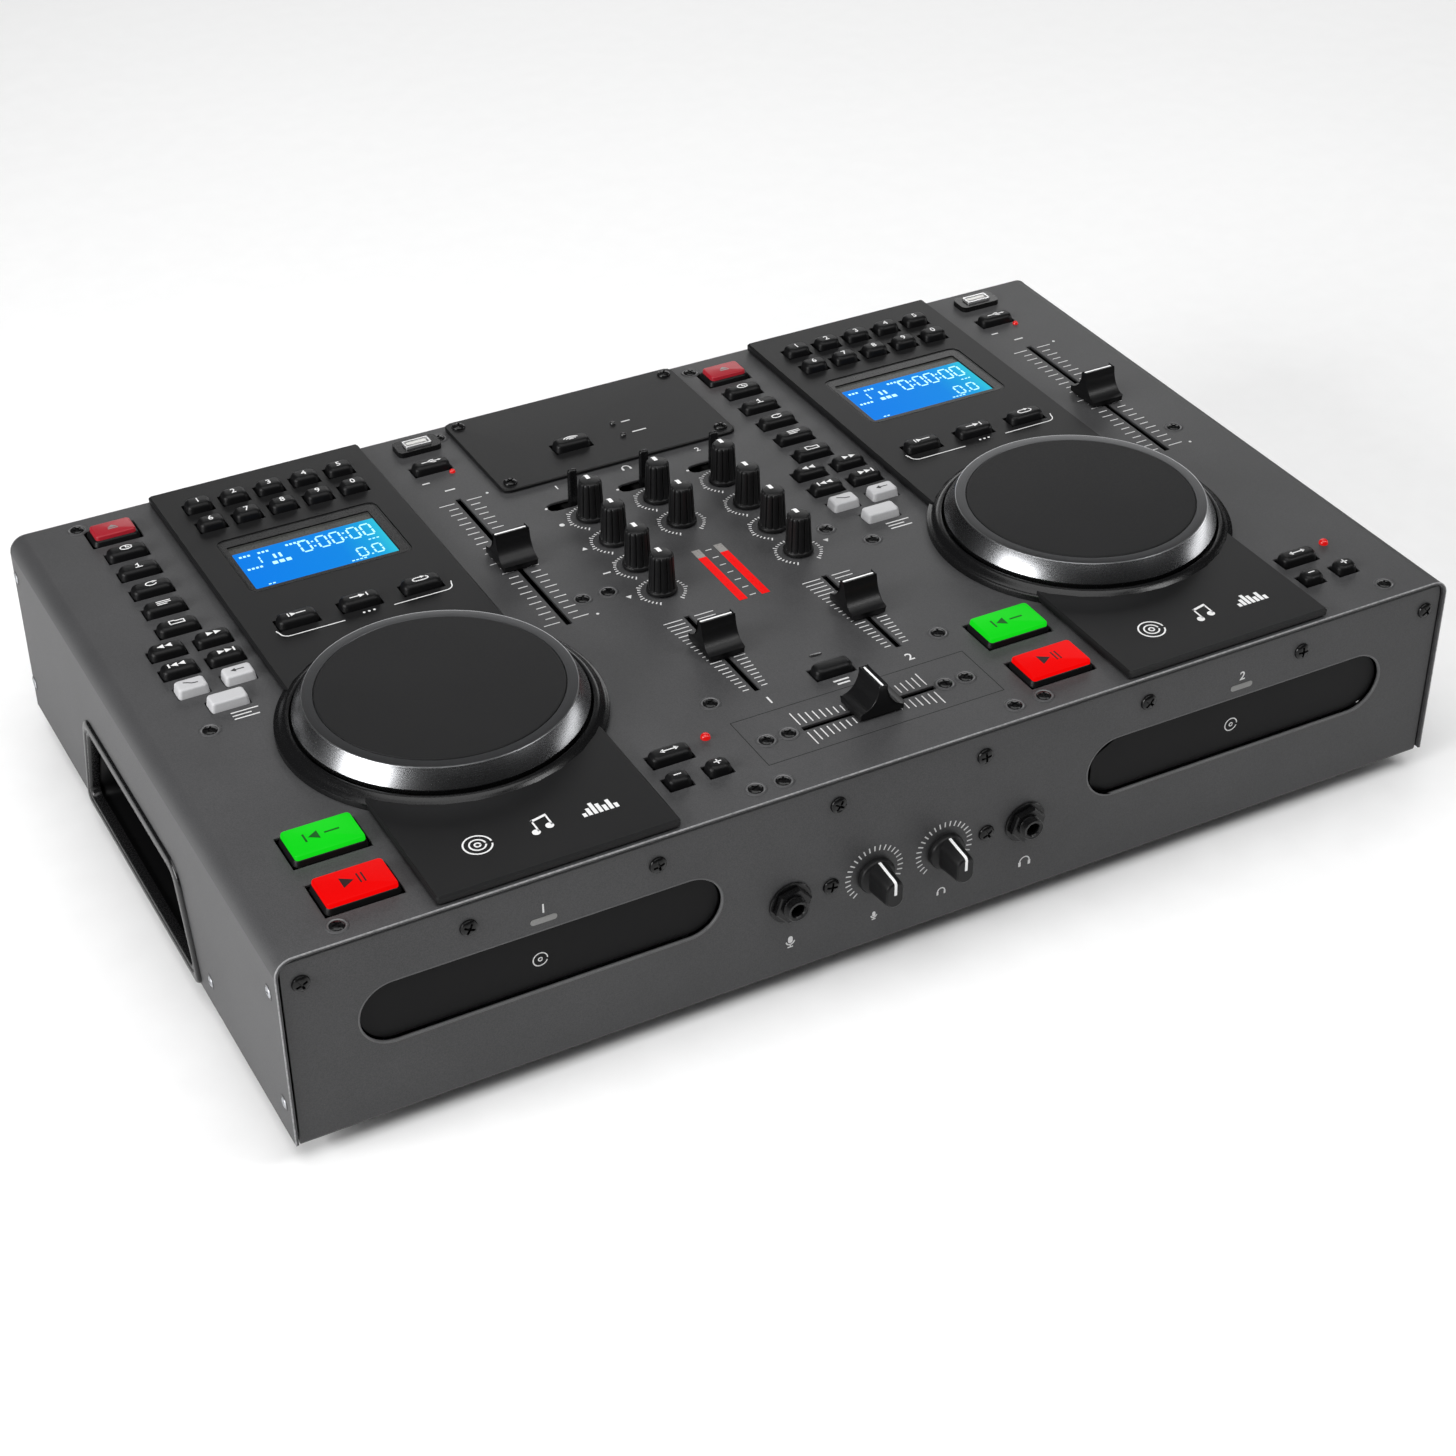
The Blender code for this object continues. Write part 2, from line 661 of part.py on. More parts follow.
class Workshop:
    """Puts meshes into the scene as pieces, and joins or cuts them."""

    def __init__(self):
        clear_scene()
        root = bpy.context.scene.collection
        self.parts = new_collection("dual_disc_player_console", root)
        self.helpers = new_collection("cutters", root)
        self.materials = make_materials()
        self.changes = []

    def piece(self, name, mesh, material, place=(0, 0, 0), smooth=False):
        mesh.name = name
        mesh.materials.clear()
        mesh.materials.append(self.materials[material])
        thing = bpy.data.objects.new(name, mesh)
        thing.location = place
        self.parts.objects.link(thing)
        if smooth:
            mesh.shade_smooth()
            mesh.set_sharp_from_angle(angle=SMOOTH_ANGLE)
        return thing

    def change(self, target, operation, meshes):
        """Plan a Boolean of a piece with meshes that are placed as the piece is."""
        group = new_collection(f"{target.name}_{operation.lower()}", self.helpers)
        for index, mesh in enumerate(meshes):
            helper = bpy.data.objects.new(f"{group.name}_{index}", mesh)
            helper.location = target.location
            helper.hide_render = True
            helper.display_type = "WIRE"
            group.objects.link(helper)
        self.changes.append((target, operation, group))

    def join(self, target, *meshes):
        self.change(target, "UNION", meshes)

    def cut(self, target, *meshes):
        self.change(target, "DIFFERENCE", meshes)

    def finish(self):
        """Give the pieces their Boolean modifiers, in the order in which they were planned."""
        for target, operation, group in self.changes:
            boolean = target.modifiers.new(group.name, "BOOLEAN")
            boolean.operation = operation
            boolean.solver = "EXACT"
            boolean.operand_type = "COLLECTION"
            boolean.collection = group


def moved(mesh, x=0.0, y=0.0, z=0.0):
    mesh.transform(Matrix.Translation((x, y, z)))
    return mesh


# Places of the keys of one deck, as (x from the deck's centre, y, width, depth)


def number_keys():
    places = []
    for row in range(2):
        for column in range(NUMBER_COLUMN_COUNT):
            x = (column - (NUMBER_COLUMN_COUNT - 1) / 2) * NUMBER_KEY_SPACING
            y = NUMBER_ROW_Y + row * NUMBER_ROW_PITCH
            places.append((x, y, NUMBER_KEY_WIDTH, NUMBER_KEY_DEPTH))
    return places


def loop_keys():
    spots = [(index - (LOOP_KEY_COUNT - 1) / 2) * LOOP_KEY_SPACING for index in range(LOOP_KEY_COUNT)]
    return [(x, LOOP_ROW_Y, KEY_WIDTH, KEY_DEPTH) for x in spots]


def transport_keys():
    y = REAR_Y - KEY_ROWS_FROM_REAR
    places = []
    for row in range(SINGLE_KEY_COUNT):
        places.append((KEY_COLUMN, y - row * SINGLE_KEY_PITCH, KEY_WIDTH, KEY_DEPTH))
    y -= (SINGLE_KEY_COUNT - 1) * SINGLE_KEY_PITCH
    for width in (PAIR_KEY_WIDTH, PAIR_KEY_WIDTH, WHITE_KEY_WIDTH):
        y -= PAIR_PITCH
        for side in (-1, 1):
            places.append((KEY_COLUMN + side * PAIR_SPACING / 2, y, width, KEY_DEPTH))
    places.append((KEY_COLUMN, y - PAIR_PITCH, BEND_KEY_WIDTH, KEY_DEPTH))
    return places


def pitch_keys():
    step_x = FADER_COLUMN - STEP_KEY_INSET
    step_y = FRONT_Y + STEP_KEY_FROM_FRONT
    return [
        (FADER_COLUMN, REAR_Y - SOURCE_KEY_FROM_REAR, KEY_WIDTH, KEY_DEPTH),
        (FADER_COLUMN - PITCH_KEY_INSET, FRONT_Y + PITCH_KEY_FROM_FRONT, KEY_WIDTH, KEY_DEPTH),
        (step_x - STEP_KEY_SPACING / 2, step_y, STEP_KEY_WIDTH, KEY_DEPTH),
        (step_x + STEP_KEY_SPACING / 2, step_y, STEP_KEY_WIDTH, KEY_DEPTH),
    ]


def key_cap(place, low, rest):
    """One cap, from low up to its ridge, KEY_HEIGHT above the face at rest."""
    x, y, width, depth = place
    high = rest + KEY_HEIGHT
    outline = arch(depth, low, high, rest + KEY_HEIGHT * KEY_SHOULDER_SHARE)
    return moved(prism(outline, -width / 2, width / 2, "X"), x, y)


def key_holes(places, low, high, x=0.0):
    """Cutters for the holes that a set of caps stands through."""
    grown = 2 * KEY_HOLE_GAP
    cutters = []
    for px, py, width, depth in places:
        cutter = box(width + grown, depth + grown, low - OVERRUN, high + OVERRUN)
        cutters.append(moved(cutter, x + px, py))
    return cutters


def bounds(places):
    """The rectangle round a set of caps, with the web's margin: (low x, high x, low y, high y)."""
    return (
        min(x - width / 2 for x, y, width, depth in places) - WEB_MARGIN,
        max(x + width / 2 for x, y, width, depth in places) + WEB_MARGIN,
        min(y - depth / 2 for x, y, width, depth in places) - WEB_MARGIN,
        max(y + depth / 2 for x, y, width, depth in places) + WEB_MARGIN,
    )


def slab(area, low, high):
    """A block over a rectangle (low x, high x, low y, high y)."""
    x, y = (area[0] + area[1]) / 2, (area[2] + area[3]) / 2
    return moved(box(area[1] - area[0], area[3] - area[2], low, high), x, y)


# Housing


def deck_cutters(x, low, high):
    """The holes of the cover for one deck: well, key window, keys, socket, fader slot and buttons."""
    area = panel_web_box()
    window = ((area[0] + area[1]) / 2, (area[2] + area[3]) / 2, area[1] - area[0], area[3] - area[2])
    buttons = [(KEY_COLUMN, y, width, depth) for width, depth, y in button_places()]
    cutters = key_holes([window, *transport_keys(), *pitch_keys(), *buttons], low, high, x)
    well = cylinder(WELL_RADIUS + WELL_WALL + WELL_HOLE_GAP, low - OVERRUN, high + OVERRUN, steps=SEAT_STEPS)
    slot = box(FADER_SLOT_WIDTH, PITCH_SLOT_LENGTH, low - OVERRUN, high + OVERRUN)
    gaps = 2 * CLEARANCE
    usb = box(USB_BODY_WIDTH + gaps, USB_BODY_DEPTH + gaps, low - OVERRUN, high + OVERRUN)
    return cutters + [
        moved(well, x, JOG_Y),
        moved(slot, x + FADER_COLUMN, pitch_slot_y()),
        moved(usb, x + FADER_COLUMN + USB_OUTSET, REAR_Y - USB_FROM_REAR),
    ]


def mixer_cutters(low, high):
    """The holes of the cover for the mixer: shafts, levers, faders, key and receiver button."""
    below, above = low - OVERRUN, high + OVERRUN
    cutters = key_holes([fader_start_place()], low, high)
    for _, x, y in knob_places():
        shaft = cylinder(KNOB_SHAFT_RADIUS + KNOB_HOLE_GAP, below, above, steps=HOLE_STEPS)
        cutters.append(moved(shaft, x, y))
    for _, x in selector_places():
        slot = prism(stadium(SELECTOR_SLOT_LENGTH, SELECTOR_SLOT_WIDTH, SLOT_END_STEPS), below, above)
        cutters.append(moved(slot, x, REAR_Y - SELECTOR_FROM_REAR))
    for _, side in SIDES:
        slot = box(FADER_SLOT_WIDTH, CHANNEL_SLOT_LENGTH, below, above)
        cutters.append(moved(slot, side * KNOB_COLUMN_SPACING, FRONT_Y + CHANNEL_SLOT_FROM_FRONT))
    slot = box(CROSSFADER_SLOT_LENGTH, FADER_SLOT_WIDTH, below, above)
    cutters.append(moved(slot, 0, FRONT_Y + CROSSFADER_FROM_FRONT))
    margin = 2 * RECEIVER_OPENING_MARGIN
    opening = box(KEY_WIDTH + margin, KEY_DEPTH + margin, below, above)
    cutters.append(moved(opening, *receiver_button_place()))
    return cutters


def cover_cutters():
    """Every hole of the top cover."""
    low, high = COVER_Z - SHEET, COVER_Z
    cutters = mixer_cutters(low, high)
    wall = BODY_WIDTH / 2 - SHEET
    for _, side in SIDES:
        cutters += deck_cutters(side * DECK_X, low, high)
        ends = sorted((side * (wall - OVERRUN), side * (wall + SHEET + OVERRUN)))
        cutters.append(prism(handle_outline(0, 0, 0), ends[0], ends[1], "X"))
    return cutters


def build_top_cover(shop):
    half = BODY_WIDTH / 2
    low = BASE_Z + COVER_SIDE_RISE
    corners = [(-half, low, 0), (-half, COVER_Z, COVER_BEND_RADIUS)]
    corners += [(-u, v, radius) for u, v, radius in reversed(corners)]
    path = rounded_path(corners, BEND_STEPS, closed=False)
    loops = [[(point.x, y, point.y) for point in path] for y in (FRONT_Y, REAR_Y)]
    mesh = thickened(loft(loops, closed=False, cap_first=False, cap_last=False), SHEET)
    cover = shop.piece("top_cover", mesh, "charcoal_steel", smooth=True)
    shop.cut(cover, *cover_cutters())


def build_base_chassis(shop):
    """Front plate with a flange under the cover, floor and rear plate, with holes for what they carry."""
    top = UNDER_COVER
    radius = BASE_BEND_RADIUS
    path = rounded_path(
        [
            (PLATE_FRONT_Y + FRONT_FLANGE, top, 0),
            (PLATE_FRONT_Y, top, radius),
            (PLATE_FRONT_Y, BASE_Z, radius),
            (PLATE_REAR_Y, BASE_Z, radius),
            (PLATE_REAR_Y, top, 0),
        ],
        CORNER_STEPS,
        closed=False,
    )
    half = BASE_WIDTH / 2
    loops = [[(x, point.x, point.y) for point in path] for x in (-half, half)]
    mesh = thickened(loft(loops, closed=False, cap_first=False, cap_last=False), SHEET)
    base = shop.piece("base_chassis", mesh, "charcoal_steel", smooth=True)
    corner = COVER_BEND_RADIUS - SHEET - SEAM_GAP
    envelope = rounded_path(
        [
            (-half, BASE_Z - OVERRUN, 0),
            (half, BASE_Z - OVERRUN, 0),
            (half, top + CLEARANCE / 2, corner),
            (-half, top + CLEARANCE / 2, corner),
        ],
        BEND_STEPS,
    )
    keep = prism(envelope, FRONT_Y - OVERRUN, REAR_Y + OVERRUN, "Y")
    shop.change(base, "INTERSECT", [keep])
    front_low = PLATE_FRONT_Y - OVERRUN
    front_high = PLATE_FRONT_Y + SHEET + OVERRUN
    cutters = []
    for _, side in SIDES:
        tray = shifted(stadium(TRAY_OPENING_WIDTH, TRAY_OPENING_HEIGHT), side * TRAY_X, TRAY_Z)
        cutters.append(prism(tray, front_low, front_high, "Y"))
        jack = cylinder(JACK_SLEEVE_RADIUS + CLEARANCE, front_low, front_high, "Y")
        cutters.append(moved(jack, side * JACK_SPACING / 2, 0, SOCKET_ROW_Z))
        shaft = cylinder(KNOB_SHAFT_RADIUS + KNOB_HOLE_GAP, front_low, front_high, "Y", HOLE_STEPS)
        cutters.append(moved(shaft, side * FRONT_KNOB_SPACING / 2, 0, SOCKET_ROW_Z))
    rear_low = PLATE_REAR_Y - SHEET - OVERRUN
    rear_high = PLATE_REAR_Y + OVERRUN
    for x, z in socket_places():
        hole = cylinder(SOCKET_BARREL_RADIUS + CLEARANCE, rear_low, rear_high, "Y", HOLE_STEPS)
        cutters.append(moved(hole, x, 0, z))
    inlet = rectangle(INLET_WIDTH + 2 * CLEARANCE, INLET_HEIGHT + 2 * CLEARANCE, INLET_CORNER)
    cutters.append(prism(shifted(inlet, INLET_X, BASE_Z + INLET_UP), rear_low, rear_high, "Y"))
    shop.cut(base, *cutters)


def build_feet(shop):
    profile = [
        (0, FOOT_RECESS_DEPTH),
        (FOOT_RECESS_RADIUS, FOOT_RECESS_DEPTH),
        (FOOT_RECESS_RADIUS, 0),
        (FOOT_BOTTOM_RADIUS - FOOT_EDGE, 0),
        (FOOT_BOTTOM_RADIUS, FOOT_EDGE),
        (FOOT_TOP_RADIUS, FOOT_HEIGHT),
        (0, FOOT_HEIGHT),
    ]
    x = BODY_WIDTH / 2 - FOOT_FROM_SIDE
    for end, y in (("front", FRONT_Y + FOOT_FROM_END), ("rear", REAR_Y - FOOT_FROM_END)):
        for name, side in SIDES:
            place = (side * x, y, 0)
            shop.piece(f"foot_{end}_{name}", turned(profile, ROUND_STEPS), "rubber", place, smooth=True)


def handle_outline(margin, drop, inset):
    """The cup's outline in (y, z): grown by margin, its top lowered by drop, its ends drawn in by inset."""
    y = MIDDLE_Y + HANDLE_BEHIND_MIDDLE
    low = BASE_Z + HANDLE_LOW - margin + inset / 2
    high = BASE_Z + HANDLE_HIGH + margin - drop
    bottom = HANDLE_BOTTOM_LENGTH / 2 + margin - inset
    top = HANDLE_TOP_LENGTH / 2 + margin - inset
    corners = [
        (y - bottom, low, HANDLE_CORNER / 2),
        (y + bottom, low, HANDLE_CORNER / 2),
        (y + top, high, HANDLE_CORNER),
        (y - top, high, HANDLE_CORNER),
    ]
    return rounded_path(corners, BEND_STEPS)


def build_handle_cups(shop):
    """A flange behind the side, a sloping mouth and a deep pocket for the fingers."""
    flange = HANDLE_MOUTH_MARGIN + HANDLE_FLANGE
    drop, inset = HANDLE_SLOPE_DROP, HANDLE_SLOPE_INSET
    sections = (
        (0, handle_outline(flange, 0, 0)),
        (0, handle_outline(HANDLE_MOUTH_MARGIN, 0, 0)),
        (HANDLE_SLOPE_DEPTH, handle_outline(0, drop, inset)),
        (HANDLE_DEPTH, handle_outline(0, drop + HANDLE_DRAFT, inset + HANDLE_DRAFT)),
    )
    face = BODY_WIDTH / 2 - SHEET - CLEARANCE
    for name, side in SIDES:
        loops = []
        for depth, outline in sections:
            loops.append([(side * (face - depth), point.x, point.y) for point in outline])
        bm = loft(loops, cap_first=False)
        if side < 0:
            bmesh.ops.reverse_faces(bm, faces=bm.faces)
        shop.piece(f"handle_cup_{name}", thickened(bm, HANDLE_WALL), "black_plastic", smooth=True)


# Decks


def panel_web_box():
    return bounds(number_keys() + loop_keys())


def build_deck_panel(shop, name, x):
    """Flat panel with key holes, a window, and the raised ring, well and spindle of the jog wheel."""
    low = COVER_Z + CLEARANCE
    high = COVER_Z + PANEL_THICKNESS
    outline = rectangle(PANEL_WIDTH, PANEL_DEPTH, PANEL_CORNER)
    plate = prism(shifted(outline, 0, MIDDLE_Y), low, high, edge=PANEL_EDGE)
    panel = shop.piece(f"deck_panel_{name}", plate, "black_panel", (x, 0, 0))
    middle = WELL_RADIUS + RING_WIDTH / 2
    holes = [moved(cylinder(middle, low - OVERRUN, high + OVERRUN, steps=WHEEL_STEPS), 0, JOG_Y)]
    holes += key_holes(number_keys() + loop_keys(), low, high)
    window = rectangle(DISPLAY_WIDTH + 2 * CLEARANCE, DISPLAY_DEPTH + 2 * CLEARANCE, DISPLAY_CORNER)
    holes.append(prism(shifted(window, 0, DISPLAY_Y), low - OVERRUN, high + OVERRUN))
    shop.cut(panel, *holes)
    floor = COVER_Z - WELL_DEPTH
    profile = [
        (0, floor),
        (WELL_RADIUS, floor),
        (WELL_RADIUS, COVER_Z + RING_HEIGHT),
        (WELL_RADIUS + RING_LIP_WIDTH, COVER_Z + RING_HEIGHT),
        (RING_RADIUS, COVER_Z + RING_EDGE_HEIGHT),
        (RING_RADIUS, low),
        (WELL_RADIUS + WELL_WALL, low),
        (WELL_RADIUS + WELL_WALL, floor - WELL_WALL),
        (0, floor - WELL_WALL),
    ]
    spindle = cylinder(SPINDLE_RADIUS, floor - WELL_WALL / 2, COVER_Z + SPINDLE_HEIGHT)
    shop.join(panel, moved(turned(profile, WHEEL_STEPS), 0, JOG_Y), moved(spindle, 0, JOG_Y))


def build_jog_wheel(shop, name, x):
    """Disc, ring, bevelled rim and skirt, turned in one piece round a hub with a blind bore."""
    top = JOG_HEIGHT
    disc_top = top - JOG_DISC_STEP
    ring = JOG_DISC_RADIUS + JOG_TOP_RING_WIDTH
    under = top - JOG_WALL
    profile = [
        (0, disc_top),
        (JOG_DISC_RADIUS, disc_top),
        (JOG_DISC_RADIUS + JOG_DISC_STEP, top),
        (ring, top),
        (JOG_RADIUS, JOG_BEVEL_HEIGHT),
        (JOG_RADIUS, -JOG_SKIRT_DEPTH),
        (JOG_RADIUS - JOG_WALL, -JOG_SKIRT_DEPTH),
        (ring - JOG_WALL, under),
        (0, under),
    ]
    place = (x, JOG_Y, COVER_Z)
    mesh = turned(profile, WHEEL_STEPS)
    wheel = shop.piece(f"jog_wheel_{name}", mesh, "grey_metal", place, smooth=True)
    low = CLEARANCE - WELL_DEPTH
    shop.join(wheel, cylinder(JOG_HUB_RADIUS, low, under + JOG_WALL / 2))
    shop.cut(wheel, cylinder(SPINDLE_RADIUS + SPINDLE_FIT, low - OVERRUN, SPINDLE_HEIGHT + CLEARANCE))


def build_display(shop, name, x):
    top = COVER_Z + PANEL_THICKNESS - DISPLAY_SINK
    low = COVER_Z - DISPLAY_BODY_DEPTH
    face = prism(rectangle(DISPLAY_WIDTH, DISPLAY_DEPTH, DISPLAY_CORNER), low + CLEARANCE, top)
    display = shop.piece(f"display_{name}", face, "display_blue", (x, DISPLAY_Y, 0))
    grown = 2 * DISPLAY_FLANGE
    shop.join(display, box(DISPLAY_WIDTH + grown, DISPLAY_DEPTH + grown, low, COVER_Z))
    margin = 2 * GLASS_MARGIN
    glass = rectangle(DISPLAY_WIDTH - margin, DISPLAY_DEPTH - margin, DISPLAY_CORNER / 2)
    shop.cut(display, prism(glass, top - GLASS_RECESS, top + OVERRUN))


def build_panel_keys(shop, name, x):
    """Number and loop keys on one web, which runs round the display under the panel."""
    high = COVER_Z
    low = high - WEB_THICKNESS
    web = slab(panel_web_box(), low, high)
    keys = shop.piece(f"panel_keys_{name}", web, "black_plastic", (x, 0, 0))
    grown = 2 * (DISPLAY_FLANGE + SLIDE_GAP)
    window = box(DISPLAY_WIDTH + grown, DISPLAY_DEPTH + grown, low - OVERRUN, high + OVERRUN)
    shop.cut(keys, moved(window, 0, DISPLAY_Y))
    face = COVER_Z + PANEL_THICKNESS
    middle = (low + high) / 2
    shop.join(keys, *[key_cap(place, middle, face) for place in number_keys() + loop_keys()])


def build_transport_keys(shop, name, x):
    high = UNDER_COVER
    low = high - WEB_THICKNESS
    places = transport_keys()
    web = slab(bounds(places), low, high)
    keys = shop.piece(f"transport_keys_{name}", web, "black_plastic", (x, 0, 0))
    middle = (low + high) / 2
    shop.join(keys, *[key_cap(place, middle, COVER_Z) for place in places])


def build_pitch_keys(shop, name, x):
    """Source, pitch, minus and plus keys on two pads, which a runner beside the fader slot joins."""
    high = UNDER_COVER
    low = high - WEB_THICKNESS
    middle = (low + high) / 2
    source, *others = pitch_keys()
    rear = bounds([source])
    front = bounds(others)
    runner_x = FADER_COLUMN + RUNNER_FROM_SLOT
    keys = shop.piece(f"pitch_keys_{name}", slab(rear, low, high), "black_plastic", (x, 0, 0))
    runner = (runner_x - RUNNER_WIDTH / 2, runner_x + RUNNER_WIDTH / 2, front[2], rear[3])
    arm_end = runner_x + RUNNER_WIDTH / 4
    rear_arm = (rear[0] + RUNNER_WIDTH, arm_end, rear[2], rear[2] + RUNNER_WIDTH)
    front_arm = (front[0] + RUNNER_WIDTH, arm_end, front[2] + RUNNER_WIDTH, front[3])
    webs = [
        slab(front, low, high),
        slab(runner, low + CLEARANCE, high - CLEARANCE),
        slab(rear_arm, low + CLEARANCE / 2, high - CLEARANCE / 2),
        slab(front_arm, low + CLEARANCE / 2, high - CLEARANCE / 2),
    ]
    shop.join(keys, *webs, *[key_cap(place, middle, COVER_Z) for place in pitch_keys()])


def button_places():
    """Holes of the framed buttons of one deck, as (width, depth, y), in the order play, cue, eject."""
    play = FRONT_Y + PLAY_FROM_FRONT
    return (
        (BUTTON_BASE_WIDTH, BUTTON_BASE_DEPTH, play),
        (BUTTON_BASE_WIDTH, BUTTON_BASE_DEPTH, play + CUE_FROM_PLAY),
        (EJECT_BASE_WIDTH, EJECT_BASE_DEPTH, REAR_Y - EJECT_FROM_REAR),
    )


def build_buttons(shop, name, x):
    """Black base with a coloured cap on it, and a flange that keeps it under the cover."""
    looks = (("play", "red_cap", BUTTON_CAP_MARGIN), ("cue", "green_cap", BUTTON_CAP_MARGIN))
    looks += (("eject", "eject_red", EJECT_CAP_MARGIN),)
    for (kind, colour, margin), (width, depth, y) in zip(looks, button_places()):
        low = UNDER_COVER - WEB_THICKNESS - COVER_Z
        base = box(width, depth, low + CLEARANCE, BUTTON_BASE_HEIGHT, edge=BUTTON_EDGE)
        button = shop.piece(f"{kind}_button_{name}", base, colour, (x + KEY_COLUMN, y, COVER_Z))
        grown, inset = 2 * BUTTON_FLANGE, 2 * margin
        cap_top = BUTTON_BASE_HEIGHT + BUTTON_CAP_HEIGHT
        shop.join(
            button,
            box(width + grown, depth + grown, low, low + WEB_THICKNESS),
            box(width - inset, depth - inset, CLEARANCE, cap_top, edge=BUTTON_EDGE),
        )


def pitch_slot_y():
    return REAR_Y - PITCH_SLOT_FROM_REAR - PITCH_SLOT_LENGTH / 2


def saddle(length, low, high):
    """The side outline of a fader cap: a narrow ridge with a hollow slope on either side."""
    skirt = low + (high - low) * FADER_SKIRT_SHARE
    ridge = length * FADER_RIDGE_SHARE / 2
    reach = length / 2 - ridge
    slope = []
    for step in range(FADER_CURVE_STEPS + 1):
        angle = math.pi / 2 * step / FADER_CURVE_STEPS
        u = ridge + reach * (1 - math.sin(angle))
        slope.append((u, skirt + (high - skirt) * (1 - math.cos(angle))))
    points = [Vector((-length / 2, low)), Vector((length / 2, low))]
    points += [Vector(point) for point in slope]
    points += [Vector((-u, v)) for u, v in reversed(slope)]
    return points


def build_fader(shop, name, place, along="Y"):
    """Cap, stem and carrier, for a slot that runs along Y or X."""
    cap_axis = "X" if along == "Y" else "Y"
    outline = saddle(FADER_CAP_LENGTH, FADER_CAP_GAP, FADER_CAP_GAP + FADER_CAP_HEIGHT)
    half = FADER_CAP_WIDTH / 2
    cap = prism(outline, -half, half, cap_axis)
    fader = shop.piece(name, cap, "black_plastic", (*place, COVER_Z))
    stem_size = (FADER_STEM_THICKNESS, FADER_STEM_LENGTH)
    carrier_size = (FADER_CARRIER_WIDTH, FADER_CARRIER_LENGTH)
    if along == "X":
        stem_size, carrier_size = stem_size[::-1], carrier_size[::-1]
    carrier_top = -SHEET - SLIDE_GAP
    carrier_low = carrier_top - FADER_CARRIER_HEIGHT
    stem = box(*stem_size, carrier_low + FADER_CAP_GAP, FADER_CAP_GAP * 2)
    shop.join(fader, stem, box(*carrier_size, carrier_low, carrier_top))


def build_usb_port(shop, name, x):
    place = (x + FADER_COLUMN + USB_OUTSET, REAR_Y - USB_FROM_REAR, COVER_Z)
    outline = rectangle(USB_SURROUND_WIDTH, USB_SURROUND_DEPTH, USB_SURROUND_CORNER)
    surround = prism(outline, CLEARANCE, USB_SURROUND_HEIGHT, edge=BUTTON_EDGE)
    port = shop.piece(f"usb_port_{name}", surround, "black_plastic", place)
    top = USB_SURROUND_HEIGHT + USB_SHELL_RISE
    shop.join(
        port,
        box(USB_BODY_WIDTH, USB_BODY_DEPTH, -USB_BODY_LENGTH, USB_SURROUND_HEIGHT / 2),
        box(USB_SHELL_WIDTH, USB_SHELL_DEPTH, CLEARANCE * 2, top),
    )
    hole_floor = top - USB_HOLE_LENGTH
    shop.cut(port, box(USB_HOLE_WIDTH, USB_HOLE_DEPTH, hole_floor, top + OVERRUN))
    root, tip = hole_floor - USB_SHELL_RISE, top - USB_TONGUE_SINK
    tongue = box(USB_TONGUE_WIDTH, USB_TONGUE_THICKNESS, root, tip)
    shop.join(port, moved(tongue, 0, USB_TONGUE_OFFSET))


# Disc drives


def drive_outline():
    """The end outline of the drive: a channel with rails for the tray and ledges along its top."""
    inner = TRAY_WIDTH / 2 + SLIDE_GAP
    outer = inner + DRIVE_WALL
    rail_top = TRAY_Z - TRAY_THICKNESS - CLEARANCE
    rail_low = rail_top - DRIVE_RAIL_THICKNESS
    floor = TRAY_Z - TRAY_THICKNESS - DRIVE_BELOW_TRAY
    top = TRAY_Z + DRIVE_ABOVE_TRAY
    half = [
        (outer, floor - DRIVE_WALL),
        (outer, top),
        (inner - DRIVE_TOP_LEDGE, top),
        (inner - DRIVE_TOP_LEDGE, top - DRIVE_WALL),
        (inner, top - DRIVE_WALL),
        (inner, rail_top),
        (inner - DRIVE_RAIL_WIDTH, rail_top),
        (inner - DRIVE_RAIL_WIDTH, rail_low),
        (inner, rail_low),
        (inner, floor),
    ]
    return [Vector(point) for point in half] + [Vector((-u, v)) for u, v in reversed(half)]


def tray_front_y():
    return PLATE_FRONT_Y + TRAY_DOOR_SINK


def disc_y():
    return tray_front_y() + TRAY_DOOR_THICKNESS + DISC_FROM_DOOR


